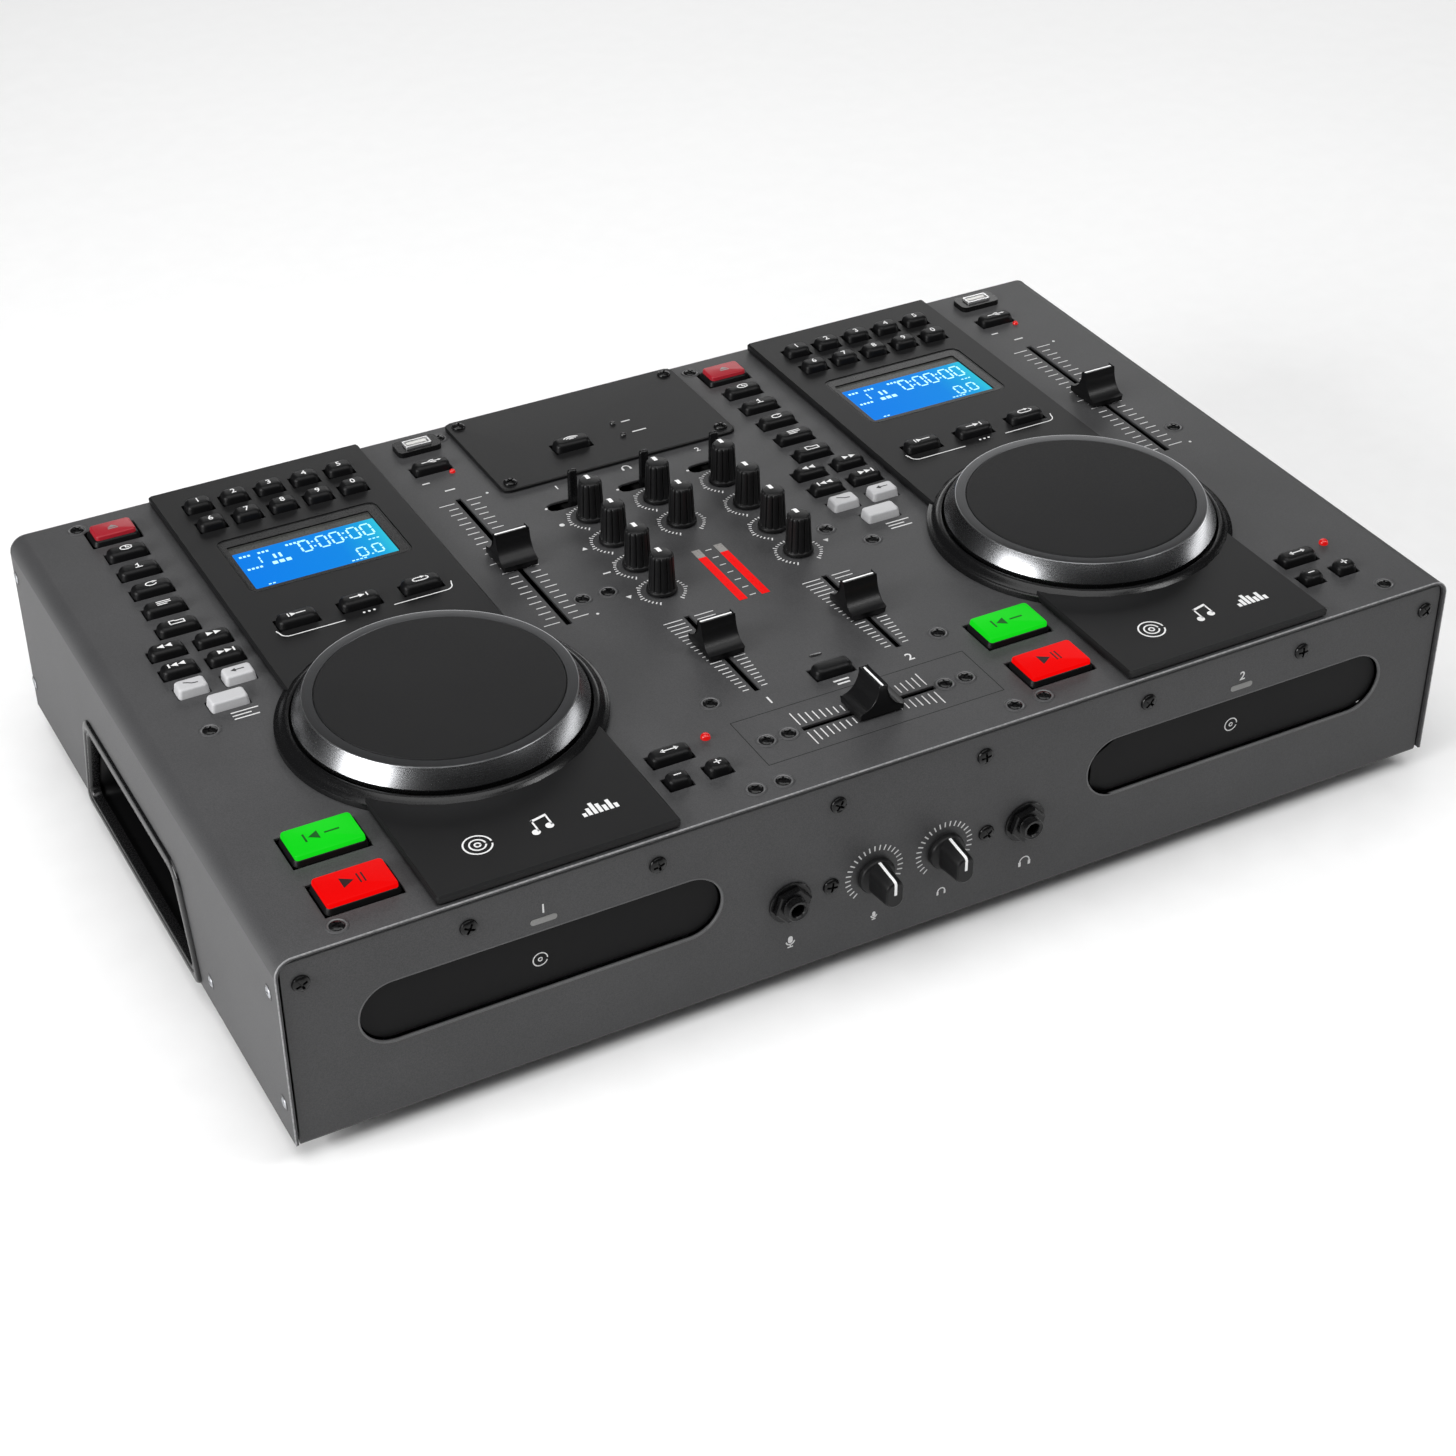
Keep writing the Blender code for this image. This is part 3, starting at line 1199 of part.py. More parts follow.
def build_disc_drive(shop, name, x):
    """Channel frame on four legs, with turntable, sled and clamp bridge."""
    front = tray_front_y() + TRAY_DOOR_THICKNESS + SLIDE_GAP + SHEET
    rear = front + DRIVE_LENGTH
    floor = TRAY_Z - TRAY_THICKNESS - DRIVE_BELOW_TRAY
    top = TRAY_Z + DRIVE_ABOVE_TRAY
    inner = TRAY_WIDTH / 2 + SLIDE_GAP
    frame = prism(drive_outline(), front, rear, "Y")
    drive = shop.piece(f"disc_drive_{name}", frame, "drive_metal", (x, 0, 0))
    overlap = DRIVE_WALL / 2
    spread = inner + overlap
    back = (-spread, spread, rear - DRIVE_WALL, rear - overlap / 2)
    bridge = (-spread, spread, disc_y() - BRIDGE_WIDTH / 2, disc_y() + BRIDGE_WIDTH / 2)
    clamp_low = TRAY_Z + CLAMP_ABOVE_TRAY
    bridge_low = top - BRIDGE_THICKNESS - overlap
    sled_y = disc_y() + TURNTABLE_RADIUS + SLED_GAP
    sled = (-SLED_WIDTH / 2, SLED_WIDTH / 2, sled_y, sled_y + SLED_LENGTH)
    turntable_top = TRAY_Z - SMALL_DISC_SEAT_DEPTH - TURNTABLE_BELOW_TRAY
    spindle = turned(
        [
            (0, turntable_top),
            (TURNTABLE_RADIUS, turntable_top),
            (TURNTABLE_RADIUS, turntable_top - DRIVE_WALL),
            (MOTOR_RADIUS, turntable_top - DRIVE_WALL),
            (MOTOR_RADIUS, floor - overlap),
            (0, floor - overlap),
        ]
    )
    clamp = cylinder(CLAMP_RADIUS, clamp_low, bridge_low + overlap)
    legs = []
    leg_low = BASE_Z + SHEET + CLEARANCE
    for leg_x in (-1, 1):
        for leg_y in (front + DRIVE_LEG_WIDTH, rear - DRIVE_LEG_WIDTH):
            leg = box(DRIVE_LEG_WIDTH, DRIVE_LEG_WIDTH, leg_low, floor - overlap)
            legs.append(moved(leg, leg_x * (inner - DRIVE_LEG_WIDTH), leg_y))
    shop.join(
        drive,
        slab(back, floor - overlap, top - overlap),
        slab(bridge, bridge_low, top - overlap),
        slab(sled, floor - overlap, floor + SLED_HEIGHT),
        moved(spindle, 0, disc_y()),
        moved(clamp, 0, disc_y()),
        *legs,
    )


def build_disc_tray(shop, name, x):
    """Tray plate with stepped disc seats and an open slot for the spindle, and its front."""
    front = tray_front_y()
    gaps = 2 * TRAY_DOOR_GAP
    outline = stadium(TRAY_OPENING_WIDTH - gaps, TRAY_OPENING_HEIGHT - gaps)
    door = prism(outline, front, front + TRAY_DOOR_THICKNESS, "Y", TRAY_DOOR_EDGE)
    tray = shop.piece(f"disc_tray_{name}", door, "black_panel", (x, 0, TRAY_Z))
    start = front + TRAY_DOOR_THICKNESS / 2
    plate = rectangle(TRAY_WIDTH, TRAY_LENGTH, TRAY_CORNER)
    shop.join(tray, prism(shifted(plate, 0, start + TRAY_LENGTH / 2), -TRAY_THICKNESS, 0))
    reach = DISC_RADIUS + DISC_SEAT_GAP
    seat = cylinder(reach, -DISC_SEAT_DEPTH, OVERRUN, steps=SEAT_STEPS)
    small_seat = cylinder(SMALL_DISC_SEAT_RADIUS, -SMALL_DISC_SEAT_DEPTH, OVERRUN, steps=SEAT_STEPS)
    slot = open_slot(TRAY_SLOT_RADIUS, start + TRAY_LENGTH + OVERRUN, disc_y())
    fingers = []
    for side in (-1, 1):
        notch = cylinder(FINGER_RADIUS, -TRAY_THICKNESS - OVERRUN, OVERRUN, steps=HOLE_STEPS)
        u = side * reach * math.cos(FINGER_ANGLE)
        fingers.append(moved(notch, u, disc_y() - reach * math.sin(FINGER_ANGLE)))
    shop.cut(
        tray,
        moved(seat, 0, disc_y()),
        moved(small_seat, 0, disc_y()),
        prism(slot, -TRAY_THICKNESS - OVERRUN, OVERRUN),
        *fingers,
    )


def build_deck(shop, name, side):
    x = side * DECK_X
    build_deck_panel(shop, name, x)
    build_jog_wheel(shop, name, x)
    build_display(shop, name, x)
    build_panel_keys(shop, name, x)
    build_transport_keys(shop, name, x)
    build_pitch_keys(shop, name, x)
    build_buttons(shop, name, x)
    build_fader(shop, f"pitch_fader_{name}", (x + FADER_COLUMN, pitch_slot_y()))
    build_usb_port(shop, name, x)
    build_disc_drive(shop, name, side * TRAY_X)
    build_disc_tray(shop, name, side * TRAY_X)


# Mixer


def knob_places():
    """The knobs of the mixer, as (name, x, y)."""
    places = []
    for name, column, rows in (
        ("left", -1, CHANNEL_KNOB_COUNT),
        ("centre", 0, MASTER_KNOB_COUNT),
        ("right", 1, CHANNEL_KNOB_COUNT),
    ):
        for row in range(rows):
            y = REAR_Y - KNOBS_FROM_REAR - row * KNOB_ROW_SPACING
            places.append((f"knob_{name}_{row + 1}", column * KNOB_COLUMN_SPACING, y))
    return places


def ribbed_ring(radius, height, depth):
    """A ring of points whose radius swings in and out by the ribs' depth."""
    ring = []
    for step in range(2 * KNOB_RIB_COUNT):
        angle = math.pi * step / KNOB_RIB_COUNT
        reach = radius - depth * (step % 2)
        ring.append((reach * math.cos(angle), reach * math.sin(angle), height))
    return ring


def build_knob(shop, name, x, y):
    """Tapered ribbed body on a plain round foot, with a domed end, and a shaft through the cover."""
    low = KNOB_GAP
    body = low + KNOB_SKIRT_HEIGHT
    high = KNOB_HEIGHT
    rings = [
        ribbed_ring(KNOB_SKIRT_RADIUS, low, 0),
        ribbed_ring(KNOB_SKIRT_RADIUS, body, KNOB_RIB_DEPTH),
        ribbed_ring(KNOB_TOP_RADIUS, high - KNOB_DOME_HEIGHT, KNOB_RIB_DEPTH),
        ribbed_ring(KNOB_TOP_RADIUS * KNOB_DOME_SHARE, high, 0),
    ]
    knob = shop.piece(name, tidied(loft(rings), name), "black_plastic", (x, y, COVER_Z), smooth=True)
    shop.join(knob, cylinder(KNOB_SHAFT_RADIUS, -SHEET - KNOB_SHAFT_DEPTH, body, steps=SHAFT_STEPS))


def selector_places():
    names = ("left", "centre", "right")
    return [(names[index], SELECTOR_SHIFT + (index - 1) * SELECTOR_SPACING) for index in range(3)]


def build_selector(shop, name, x):
    """Upright lever at the right-hand end of its slot, on a slider under the cover."""
    rest = (SELECTOR_SLOT_LENGTH - LEVER_WIDTH) / 2 - SLIDE_GAP * 2
    place = (x + rest, REAR_Y - SELECTOR_FROM_REAR, COVER_Z)
    base_top = -SHEET - SLIDE_GAP
    base_low = base_top - LEVER_BASE_HEIGHT
    blade = box(LEVER_WIDTH, LEVER_THICKNESS, base_low + LEVER_EDGE, LEVER_HEIGHT, edge=LEVER_EDGE)
    lever = shop.piece(f"selector_lever_{name}", blade, "black_plastic", place)
    shop.join(lever, box(LEVER_BASE_WIDTH, LEVER_BASE_DEPTH, base_low, base_top))


def receiver_button_place():
    y = REAR_Y - PANEL_SETBACK - RECEIVER_DEPTH / 2
    return MIXER_WIDTH * RECEIVER_BUTTON_X_SHARE, y + RECEIVER_DEPTH * RECEIVER_BUTTON_Y_SHARE


def build_receiver(shop):
    low = COVER_Z + CLEARANCE
    high = low + RECEIVER_THICKNESS
    y = REAR_Y - PANEL_SETBACK - RECEIVER_DEPTH / 2
    plate = prism(rectangle(MIXER_WIDTH, RECEIVER_DEPTH, RECEIVER_CORNER), low, high, edge=RECEIVER_EDGE)
    panel = shop.piece("receiver_panel", plate, "black_panel", (0, y, 0))
    button_x, button_y = receiver_button_place()
    shop.cut(panel, *key_holes([(button_x, button_y - y, KEY_WIDTH, KEY_DEPTH)], low, high))
    button = (button_x, button_y, KEY_WIDTH, KEY_DEPTH)
    build_single_key(shop, "receiver_button", button, low - CLEARANCE, high)


def fader_start_place():
    return (0, FRONT_Y + FADER_START_FROM_FRONT, KEY_WIDTH, KEY_DEPTH)


def build_single_key(shop, name, place, flange_top, face):
    """One key with its own flange, which the sheet above it holds in."""
    x, y, width, depth = place
    low = flange_top - WEB_THICKNESS
    flange = slab(bounds([(0, 0, width, depth)]), low, flange_top)
    key = shop.piece(name, flange, "black_plastic", (x, y, 0))
    shop.join(key, key_cap((0, 0, width, depth), (low + flange_top) / 2, face))


def build_mixer(shop):
    for name, x, y in knob_places():
        build_knob(shop, name, x, y)
    for name, x in selector_places():
        build_selector(shop, name, x)
    build_receiver(shop)
    build_single_key(shop, "fader_start_button", fader_start_place(), UNDER_COVER, COVER_Z)
    channel_y = FRONT_Y + CHANNEL_SLOT_FROM_FRONT
    build_fader(shop, "channel_fader_left", (-KNOB_COLUMN_SPACING, channel_y + CHANNEL_LEFT_REST))
    build_fader(shop, "channel_fader_right", (KNOB_COLUMN_SPACING, channel_y + CHANNEL_RIGHT_REST))
    build_fader(shop, "crossfader", (CROSSFADER_REST, FRONT_Y + CROSSFADER_FROM_FRONT), along="X")


# Front and rear


def lying(mesh, rear=False):
    """A mesh built upright, laid down so that its top points out of the front, or out of the rear."""
    mesh.transform(Matrix.Rotation(math.radians(-90 if rear else 90), 4, "X"))
    return mesh


def build_jack(shop, name, x):
    """Sleeve and washer outside the plate with a hexagon nut on them, a square body inside, a blind bore."""
    behind = -SHEET - CLEARANCE
    washer_top = CLEARANCE + JACK_WASHER_THICKNESS
    profile = [
        (0, JACK_SLEEVE_LENGTH),
        (JACK_SLEEVE_RADIUS, JACK_SLEEVE_LENGTH),
        (JACK_SLEEVE_RADIUS, washer_top),
        (JACK_WASHER_RADIUS, washer_top),
        (JACK_WASHER_RADIUS, CLEARANCE),
        (JACK_SLEEVE_RADIUS, CLEARANCE),
        (JACK_SLEEVE_RADIUS, behind - OVERRUN),
        (0, behind - OVERRUN),
    ]
    place = (x, PLATE_FRONT_Y, SOCKET_ROW_Z)
    jack = shop.piece(name, lying(turned(profile)), "black_plastic", place, smooth=True)
    nut = cylinder(
        JACK_NUT_RADIUS,
        washer_top - CLEARANCE,
        washer_top + JACK_NUT_THICKNESS,
        steps=NUT_SIDE_COUNT,
        edge=BUTTON_EDGE,
    )
    body = box(JACK_BODY_WIDTH, JACK_BODY_WIDTH, -JACK_BODY_LENGTH, behind)
    shop.join(jack, lying(nut), lying(body))
    shop.cut(jack, lying(cylinder(JACK_BORE_RADIUS, -JACK_BORE_DEPTH, JACK_SLEEVE_LENGTH + OVERRUN)))


def build_front_knob(shop, name, x):
    """Round skirt with a tapered finger bar across it, and a shaft through the front plate."""
    low = FRONT_KNOB_GAP
    high = low + FRONT_KNOB_LENGTH
    skirt_top = low + FRONT_KNOB_SKIRT_LENGTH
    shaft_end = -SHEET - KNOB_SHAFT_DEPTH
    edge = BUTTON_EDGE
    profile = [
        (0, skirt_top),
        (FRONT_KNOB_SKIRT_RADIUS - edge, skirt_top),
        (FRONT_KNOB_SKIRT_RADIUS, skirt_top - edge),
        (FRONT_KNOB_SKIRT_RADIUS, low),
        (KNOB_SHAFT_RADIUS, low),
        (KNOB_SHAFT_RADIUS, shaft_end),
        (0, shaft_end),
    ]
    place = (x, PLATE_FRONT_Y, SOCKET_ROW_Z)
    knob = shop.piece(name, lying(turned(profile)), "black_plastic", place, smooth=True)
    length = 2 * (FRONT_KNOB_SKIRT_RADIUS - edge)
    taper = FRONT_KNOB_TAPER_SHARE
    rings = []
    for height, scale, inset in ((low + edge, 1, 0), (high - 2 * edge, taper, 0), (high, taper, 2 * edge)):
        width = FRONT_KNOB_BAR_WIDTH * scale
        outline = stadium(length * scale - inset, width - inset)
        rings.append([(-point.y, point.x, height) for point in outline])
    shop.join(knob, lying(tidied(loft(rings), name)))


def socket_places():
    """Centres of the phono sockets on the rear plate, as (x, z)."""
    places = []
    for row in range(SOCKET_ROW_COUNT):
        for column in range(SOCKET_COLUMN_COUNT):
            x = (column - (SOCKET_COLUMN_COUNT - 1) / 2) * SOCKET_SPACING
            z = BASE_Z + SOCKETS_UP + (row - (SOCKET_ROW_COUNT - 1) / 2) * SOCKET_ROW_SPACING
            places.append((x, z))
    return places


def build_phono_sockets(shop):
    """Block behind the rear plate with a barrel and a centre bore for each socket."""
    inside = PLATE_REAR_Y - SHEET - CLEARANCE
    width = (SOCKET_COLUMN_COUNT - 1) * SOCKET_SPACING + 2 * SOCKET_BLOCK_MARGIN
    height = (SOCKET_ROW_COUNT - 1) * SOCKET_ROW_SPACING + 2 * SOCKET_BLOCK_MARGIN
    outline = shifted(rectangle(width, height, SOCKET_BLOCK_CORNER), 0, BASE_Z + SOCKETS_UP)
    block = prism(outline, inside - SOCKET_BLOCK_DEPTH, inside, "Y")
    sockets = shop.piece("phono_socket_block", block, "black_plastic")
    profile = [
        (0, SOCKET_BARREL_LENGTH - SOCKET_BORE_DEPTH),
        (SOCKET_BORE_RADIUS, SOCKET_BARREL_LENGTH - SOCKET_BORE_DEPTH),
        (SOCKET_BORE_RADIUS, SOCKET_BARREL_LENGTH),
        (SOCKET_BARREL_RADIUS, SOCKET_BARREL_LENGTH),
        (SOCKET_BARREL_RADIUS, -SOCKET_BLOCK_DEPTH / 2),
        (0, -SOCKET_BLOCK_DEPTH / 2),
    ]
    barrels = []
    for x, z in socket_places():
        barrel = lying(turned(profile, HOLE_STEPS), rear=True)
        barrels.append(moved(barrel, x, PLATE_REAR_Y, z))
    shop.join(sockets, *barrels)


def build_mains_inlet(shop):
    """Flanged module with the three-pin mains socket below and the frame of the power switch above."""
    z = BASE_Z + INLET_UP
    out = INLET_FLANGE_THICKNESS
    grown = 2 * INLET_FLANGE
    outline = rectangle(INLET_WIDTH + grown, INLET_HEIGHT + grown, INLET_CORNER)
    flange = prism(outline, PLATE_REAR_Y + CLEARANCE, PLATE_REAR_Y + out, "Y")
    place = (INLET_X, 0, z)
    inlet = shop.piece("mains_inlet", flange, "black_plastic", place)
    body = rectangle(INLET_WIDTH, INLET_HEIGHT, INLET_CORNER)
    shop.join(inlet, prism(body, PLATE_REAR_Y - INLET_DEPTH, PLATE_REAR_Y + out / 2, "Y"))
    face = PLATE_REAR_Y + out
    hole = shifted(rectangle(INLET_HOLE_WIDTH, INLET_HOLE_HEIGHT, INLET_HOLE_CORNER), 0, -INLET_HOLE_DROP)
    gaps = 2 * ROCKER_GAP
    well = box(ROCKER_WIDTH + gaps, ROCKER_HEIGHT + gaps, face - ROCKER_WELL_DEPTH, face + OVERRUN, "Y")
    shop.cut(
        inlet,
        prism(hole, face - INLET_HOLE_DEPTH, face + OVERRUN, "Y"),
        moved(well, 0, 0, ROCKER_RISE),
    )
    pins = []
    root = face - INLET_HOLE_DEPTH - OVERRUN
    for column, rise in ((-1, -PIN_RAISE), (0, PIN_RAISE), (1, -PIN_RAISE)):
        pin = box(PIN_WIDTH, PIN_HEIGHT, root, root + OVERRUN + PIN_LENGTH, "Y")
        pins.append(moved(pin, column * PIN_SPACING, 0, rise - INLET_HOLE_DROP))
    shop.join(inlet, *pins)


def build_power_rocker(shop):
    """Rocker tilted to its off stop, on a pivot behind the middle of its two faces."""
    face = PLATE_REAR_Y + INLET_FLANGE_THICKNESS
    half = ROCKER_HEIGHT / 2 - ROCKER_GAP
    dip = math.tan(ROCKER_ANGLE) * half
    back = half * ROCKER_BACK_SHARE
    outline = [
        Vector((ROCKER_PROUD - dip, 0)),
        Vector((ROCKER_PROUD, half)),
        Vector((ROCKER_PROUD - ROCKER_THICKNESS, back)),
        Vector((ROCKER_PROUD - ROCKER_THICKNESS, -back)),
        Vector((ROCKER_PROUD, -half)),
    ]
    mesh = prism(outline, -ROCKER_WIDTH / 2, ROCKER_WIDTH / 2, "X")
    pivot_y = face - ROCKER_PROUD
    shift = Matrix.Translation((0, ROCKER_PROUD, 0))
    mesh.transform(Matrix.Rotation(ROCKER_ANGLE, 4, "X") @ shift)
    z = BASE_Z + INLET_UP + ROCKER_RISE
    shop.piece("power_rocker", mesh, "black_plastic", (INLET_X, pivot_y, z))


def main():
    shop = Workshop()
    build_top_cover(shop)
    build_base_chassis(shop)
    build_feet(shop)
    build_handle_cups(shop)
    for name, side in SIDES:
        build_deck(shop, name, side)
    build_mixer(shop)
    for name, side in (("microphone", -1), ("headphone", 1)):
        build_jack(shop, f"{name}_jack", side * JACK_SPACING / 2)
        build_front_knob(shop, f"{name}_knob", side * FRONT_KNOB_SPACING / 2)
    build_phono_sockets(shop)
    build_mains_inlet(shop)
    build_power_rocker(shop)
    shop.finish()


main()
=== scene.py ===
"""Looks of the disc console: fine pieces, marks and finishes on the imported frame."""

import json
import math

import bmesh
import bpy
from mathutils import Matrix, Vector

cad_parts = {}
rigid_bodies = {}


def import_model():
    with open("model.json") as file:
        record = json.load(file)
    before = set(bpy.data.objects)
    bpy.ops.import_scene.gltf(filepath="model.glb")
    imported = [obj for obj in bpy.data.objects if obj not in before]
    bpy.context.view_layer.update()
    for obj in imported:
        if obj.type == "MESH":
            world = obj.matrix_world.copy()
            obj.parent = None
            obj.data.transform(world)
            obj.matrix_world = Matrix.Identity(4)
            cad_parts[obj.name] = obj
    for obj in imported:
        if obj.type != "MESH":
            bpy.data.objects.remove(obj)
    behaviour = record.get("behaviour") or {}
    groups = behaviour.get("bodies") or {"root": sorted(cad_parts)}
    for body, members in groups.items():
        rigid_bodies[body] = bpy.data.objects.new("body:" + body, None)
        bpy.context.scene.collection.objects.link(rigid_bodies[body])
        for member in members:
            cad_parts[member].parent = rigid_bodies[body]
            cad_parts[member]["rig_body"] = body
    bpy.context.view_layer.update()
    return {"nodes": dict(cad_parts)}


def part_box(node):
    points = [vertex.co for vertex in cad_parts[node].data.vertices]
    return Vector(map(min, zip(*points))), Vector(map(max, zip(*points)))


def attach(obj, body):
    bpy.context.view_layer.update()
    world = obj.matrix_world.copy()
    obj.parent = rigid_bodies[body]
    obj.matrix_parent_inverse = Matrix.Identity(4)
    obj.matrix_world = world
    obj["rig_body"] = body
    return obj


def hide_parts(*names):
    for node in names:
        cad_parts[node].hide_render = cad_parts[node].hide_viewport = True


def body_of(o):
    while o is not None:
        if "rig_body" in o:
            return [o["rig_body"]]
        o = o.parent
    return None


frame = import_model()

# Pieces are drawn in millimetres and made in metres.
MM = 0.001
TINY = 0.002
INK_LIFT, INK_SINK = 0.08, 0.06
SIDES = ("left", "right")
SIGNS = (-1, 1)


def box(node):
    """The two corners of a node's box."""
    return [Vector(corner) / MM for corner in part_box(node)]


def middle(node):
    return sum(box(node), Vector()) / 2


# Planes and lines that the pieces sit on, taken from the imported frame.
COVER_LOW, COVER_HIGH = box("top_cover")
BASE_LOW, BASE_HIGH = box("base_chassis")
TOP, HALF_WIDTH, SIDE_FOOT = COVER_HIGH.z, COVER_HIGH.x, COVER_LOW.z
FACE_Y, BACK_Y = BASE_LOW.y, BASE_HIGH.y
CENTRE_Y = middle("top_cover").y
PANEL_TOP = TOP + 4.5

# A turn lays a drawing plane, x to the right and y up, on a side of the housing.
TURNS = {
    "top": ((1, 0, 0), (0, 1, 0), (0, 0, 1)),
    "front": ((1, 0, 0), (0, 0, 1), (0, -1, 0)),
    "rear": ((-1, 0, 0), (0, 0, 1), (0, 1, 0)),
    "left": ((0, -1, 0), (0, 0, 1), (-1, 0, 0)),
    "right": ((0, 1, 0), (0, 0, 1), (1, 0, 0)),
}


def at(x, y, z, side="top"):
    """The place of a drawing plane whose origin is (x, y, z)."""
    return Matrix.Translation((x, y, z)) @ Matrix(TURNS[side]).transposed().to_4x4()


def spun(place, degrees):
    return place @ Matrix.Rotation(math.radians(degrees), 4, "Z")


def on_top(node, lift=0.0):
    """The plane of the cover, or one above it, with its origin at a node's middle."""
    return at(*middle(node).xy, TOP + lift)


def on_front(node):
    spot = middle(node)
    return at(spot.x, FACE_Y, spot.z, "front")


COVER = at(0, 0, TOP)


# Finishes.
def shader(name):
    material = bpy.data.materials.new(name)
    material.use_nodes = True
    return material, material.node_tree, material.node_tree.nodes["Principled BSDF"]


def added(tree, kind, *values, operation=None):
    """A new node whose inputs, in order, are linked to sockets or set to values."""
    node = tree.nodes.new("ShaderNode" + kind)
    if operation:
        node.operation = operation
    for socket, value in zip(node.inputs, values):
        if isinstance(value, bpy.types.NodeSocket):
            tree.links.new(value, socket)
        elif value is not None:
            socket.default_value = value
    return node


def coordinates(tree):
    return added(tree, "TexCoord").outputs["Object"]


def noise(tree, feature, detail=2.0):
    """Noise whose features have about the given size."""
    texture = added(tree, "TexNoise", coordinates(tree))
    texture.inputs["Scale"].default_value = 1 / (feature * MM)
    texture.inputs["Detail"].default_value = detail
    return texture.outputs["Fac"]


def spread(tree, value, low, high, start=0.3, end=0.7):
    return added(tree, "MapRange", value, start, end, low, high).outputs["Result"]


def tinted(tree, colour, amounts):
    """A colour that noise values make lighter and darker."""
    steps = [spread(tree, value, 1 - share, 1 + share) for value, share in amounts]
    total = steps[0]
    for step in steps[1:]:
        total = added(tree, "Math", total, step, operation="MULTIPLY").outputs[0]
    return added(tree, "VectorMath", colour, None, None, total, operation="SCALE").outputs["Vector"]


def bumped(tree, bsdf, value, depth, strength):
    bump = added(tree, "Bump")
    bump.inputs["Strength"].default_value = strength
    bump.inputs["Distance"].default_value = depth * MM
    tree.links.new(value, bump.inputs["Height"])
    tree.links.new(bump.outputs["Normal"], bsdf.inputs["Normal"])


def finish(name, colour, rough, metal=0.0, grain=0.5, patch=40, vary=0.10, drift=0.05, play=0.06, depth=0.04,
           strength=0.4, specular=0.5, glow=None, power=0.0):
    """A surface with a fine grain in colour, gloss and height, and a slow drift in tone."""
    material, tree, bsdf = shader(name)
    fine, slow = noise(tree, grain, 3.0), noise(tree, patch)
    tree.links.new(tinted(tree, colour, ((fine, vary), (slow, drift))), bsdf.inputs["Base Color"])
    tree.links.new(spread(tree, fine, rough - play, rough + play), bsdf.inputs["Roughness"])
    bumped(tree, bsdf, fine, depth, strength)
    bsdf.inputs["Metallic"].default_value = metal
    bsdf.inputs["Specular IOR Level"].default_value = specular
    if glow:
        tree.links.new(tinted(tree, glow, ((slow, 0.04), (fine, 0.02))), bsdf.inputs["Emission Color"])
        bsdf.inputs["Emission Strength"].default_value = power
    return material


STEEL = finish("charcoal_powder_coat", (0.046, 0.046, 0.0475), 0.50, grain=0.45, vary=0.30, drift=0.07,
               depth=0.06, strength=0.6, specular=0.35)
# Edge colour much lighter than the coat: partly the bare metal of the cut sheet, partly a painted highlight
# for the bright line the edges catch.
EDGE = finish("worn_edge_and_painted_highlight", (0.24, 0.24, 0.245), 0.45, grain=1.5, vary=0.30, drift=0.12, patch=25,
              depth=0.02)
# Painted highlight: the cone of each screw seat is lighter than the coat so that it shows a bright crescent.
SEAT_HIGHLIGHT = finish("screw_seat_painted_highlight", (0.11, 0.11, 0.112), 0.40, vary=0.15, depth=0.02)
# Lip colour lighter than the coat: partly the bare cut steel of the tray openings, partly a painted highlight
# along their edges.
LIP = finish("opening_lip_edge_and_highlight", (0.095, 0.095, 0.097), 0.42, vary=0.20, depth=0.02, specular=0.4)
PANEL = finish("satin_black_panel", (0.0085, 0.0085, 0.0088), 0.42, vary=0.16, grain=0.35, depth=0.02,
               specular=0.15)
RING = finish("ring_black", (0.005, 0.005, 0.0053), 0.24, depth=0.01, specular=0.28)
KEY = finish("key_black", (0.0042, 0.0042, 0.0045), 0.40, vary=0.15, depth=0.015, play=0.05, specular=0.15)
KNOB = finish("knob_black", (0.0070, 0.0070, 0.0073), 0.40, vary=0.15, depth=0.02, specular=0.20)
FADER = finish("fader_black", (0.005, 0.005, 0.0053), 0.34, vary=0.12, depth=0.015, specular=0.24)
CUP = finish("cup_black", (0.0032, 0.0032, 0.0034), 0.46, vary=0.12, depth=0.02, specular=0.08)
RIM = finish("handle_rim_black", (0.006, 0.006, 0.0063), 0.26, depth=0.01, specular=0.40)
DOOR = finish("tray_door_black", (0.0050, 0.0050, 0.0053), 0.44, vary=0.14, depth=0.02, specular=0.10)
DISC = finish("jog_disc", (0.0108, 0.0108, 0.0112), 0.58, vary=0.16, grain=0.8, depth=0.02, specular=0.13)
RUBBER = finish("foot_rubber", (0.012, 0.012, 0.012), 0.80, vary=0.15, depth=0.05, specular=0.3)
WHITE_KEY = finish("key_white", (0.46, 0.46, 0.47), 0.42, vary=0.05, depth=0.015)
EJECT = finish("eject_red", (0.20, 0.008, 0.014), 0.34, vary=0.08, depth=0.01, glow=(0.32, 0.014, 0.024),
               power=0.38, specular=0.25)
GREEN = finish("cue_green", (0.0, 0.05, 0.002), 0.38, vary=0.04, depth=0.01, glow=(0.006, 0.68, 0.010),
               power=0.92, specular=0.05)
RED = finish("play_red", (0.04, 0.001, 0.001), 0.38, vary=0.04, depth=0.01, glow=(0.90, 0.001, 0.001),
             power=0.93, specular=0.02)
MARK_GREEN = finish("mark_green", (0.0, 0.03, 0.002), 0.45, vary=0.05, glow=(0.0, 0.16, 0.006), power=0.4,
                    specular=0.2)
MARK_DARK = finish("mark_dark", (0.02, 0.004, 0.004), 0.45, vary=0.08, specular=0.2)
MARK_GREY = finish("mark_grey", (0.03, 0.03, 0.03), 0.45, vary=0.08, specular=0.2)
LAMP_RED = finish("lamp_red", (0.20, 0.004, 0.003), 0.16, vary=0.05, glow=(0.80, 0.006, 0.006), power=0.60)
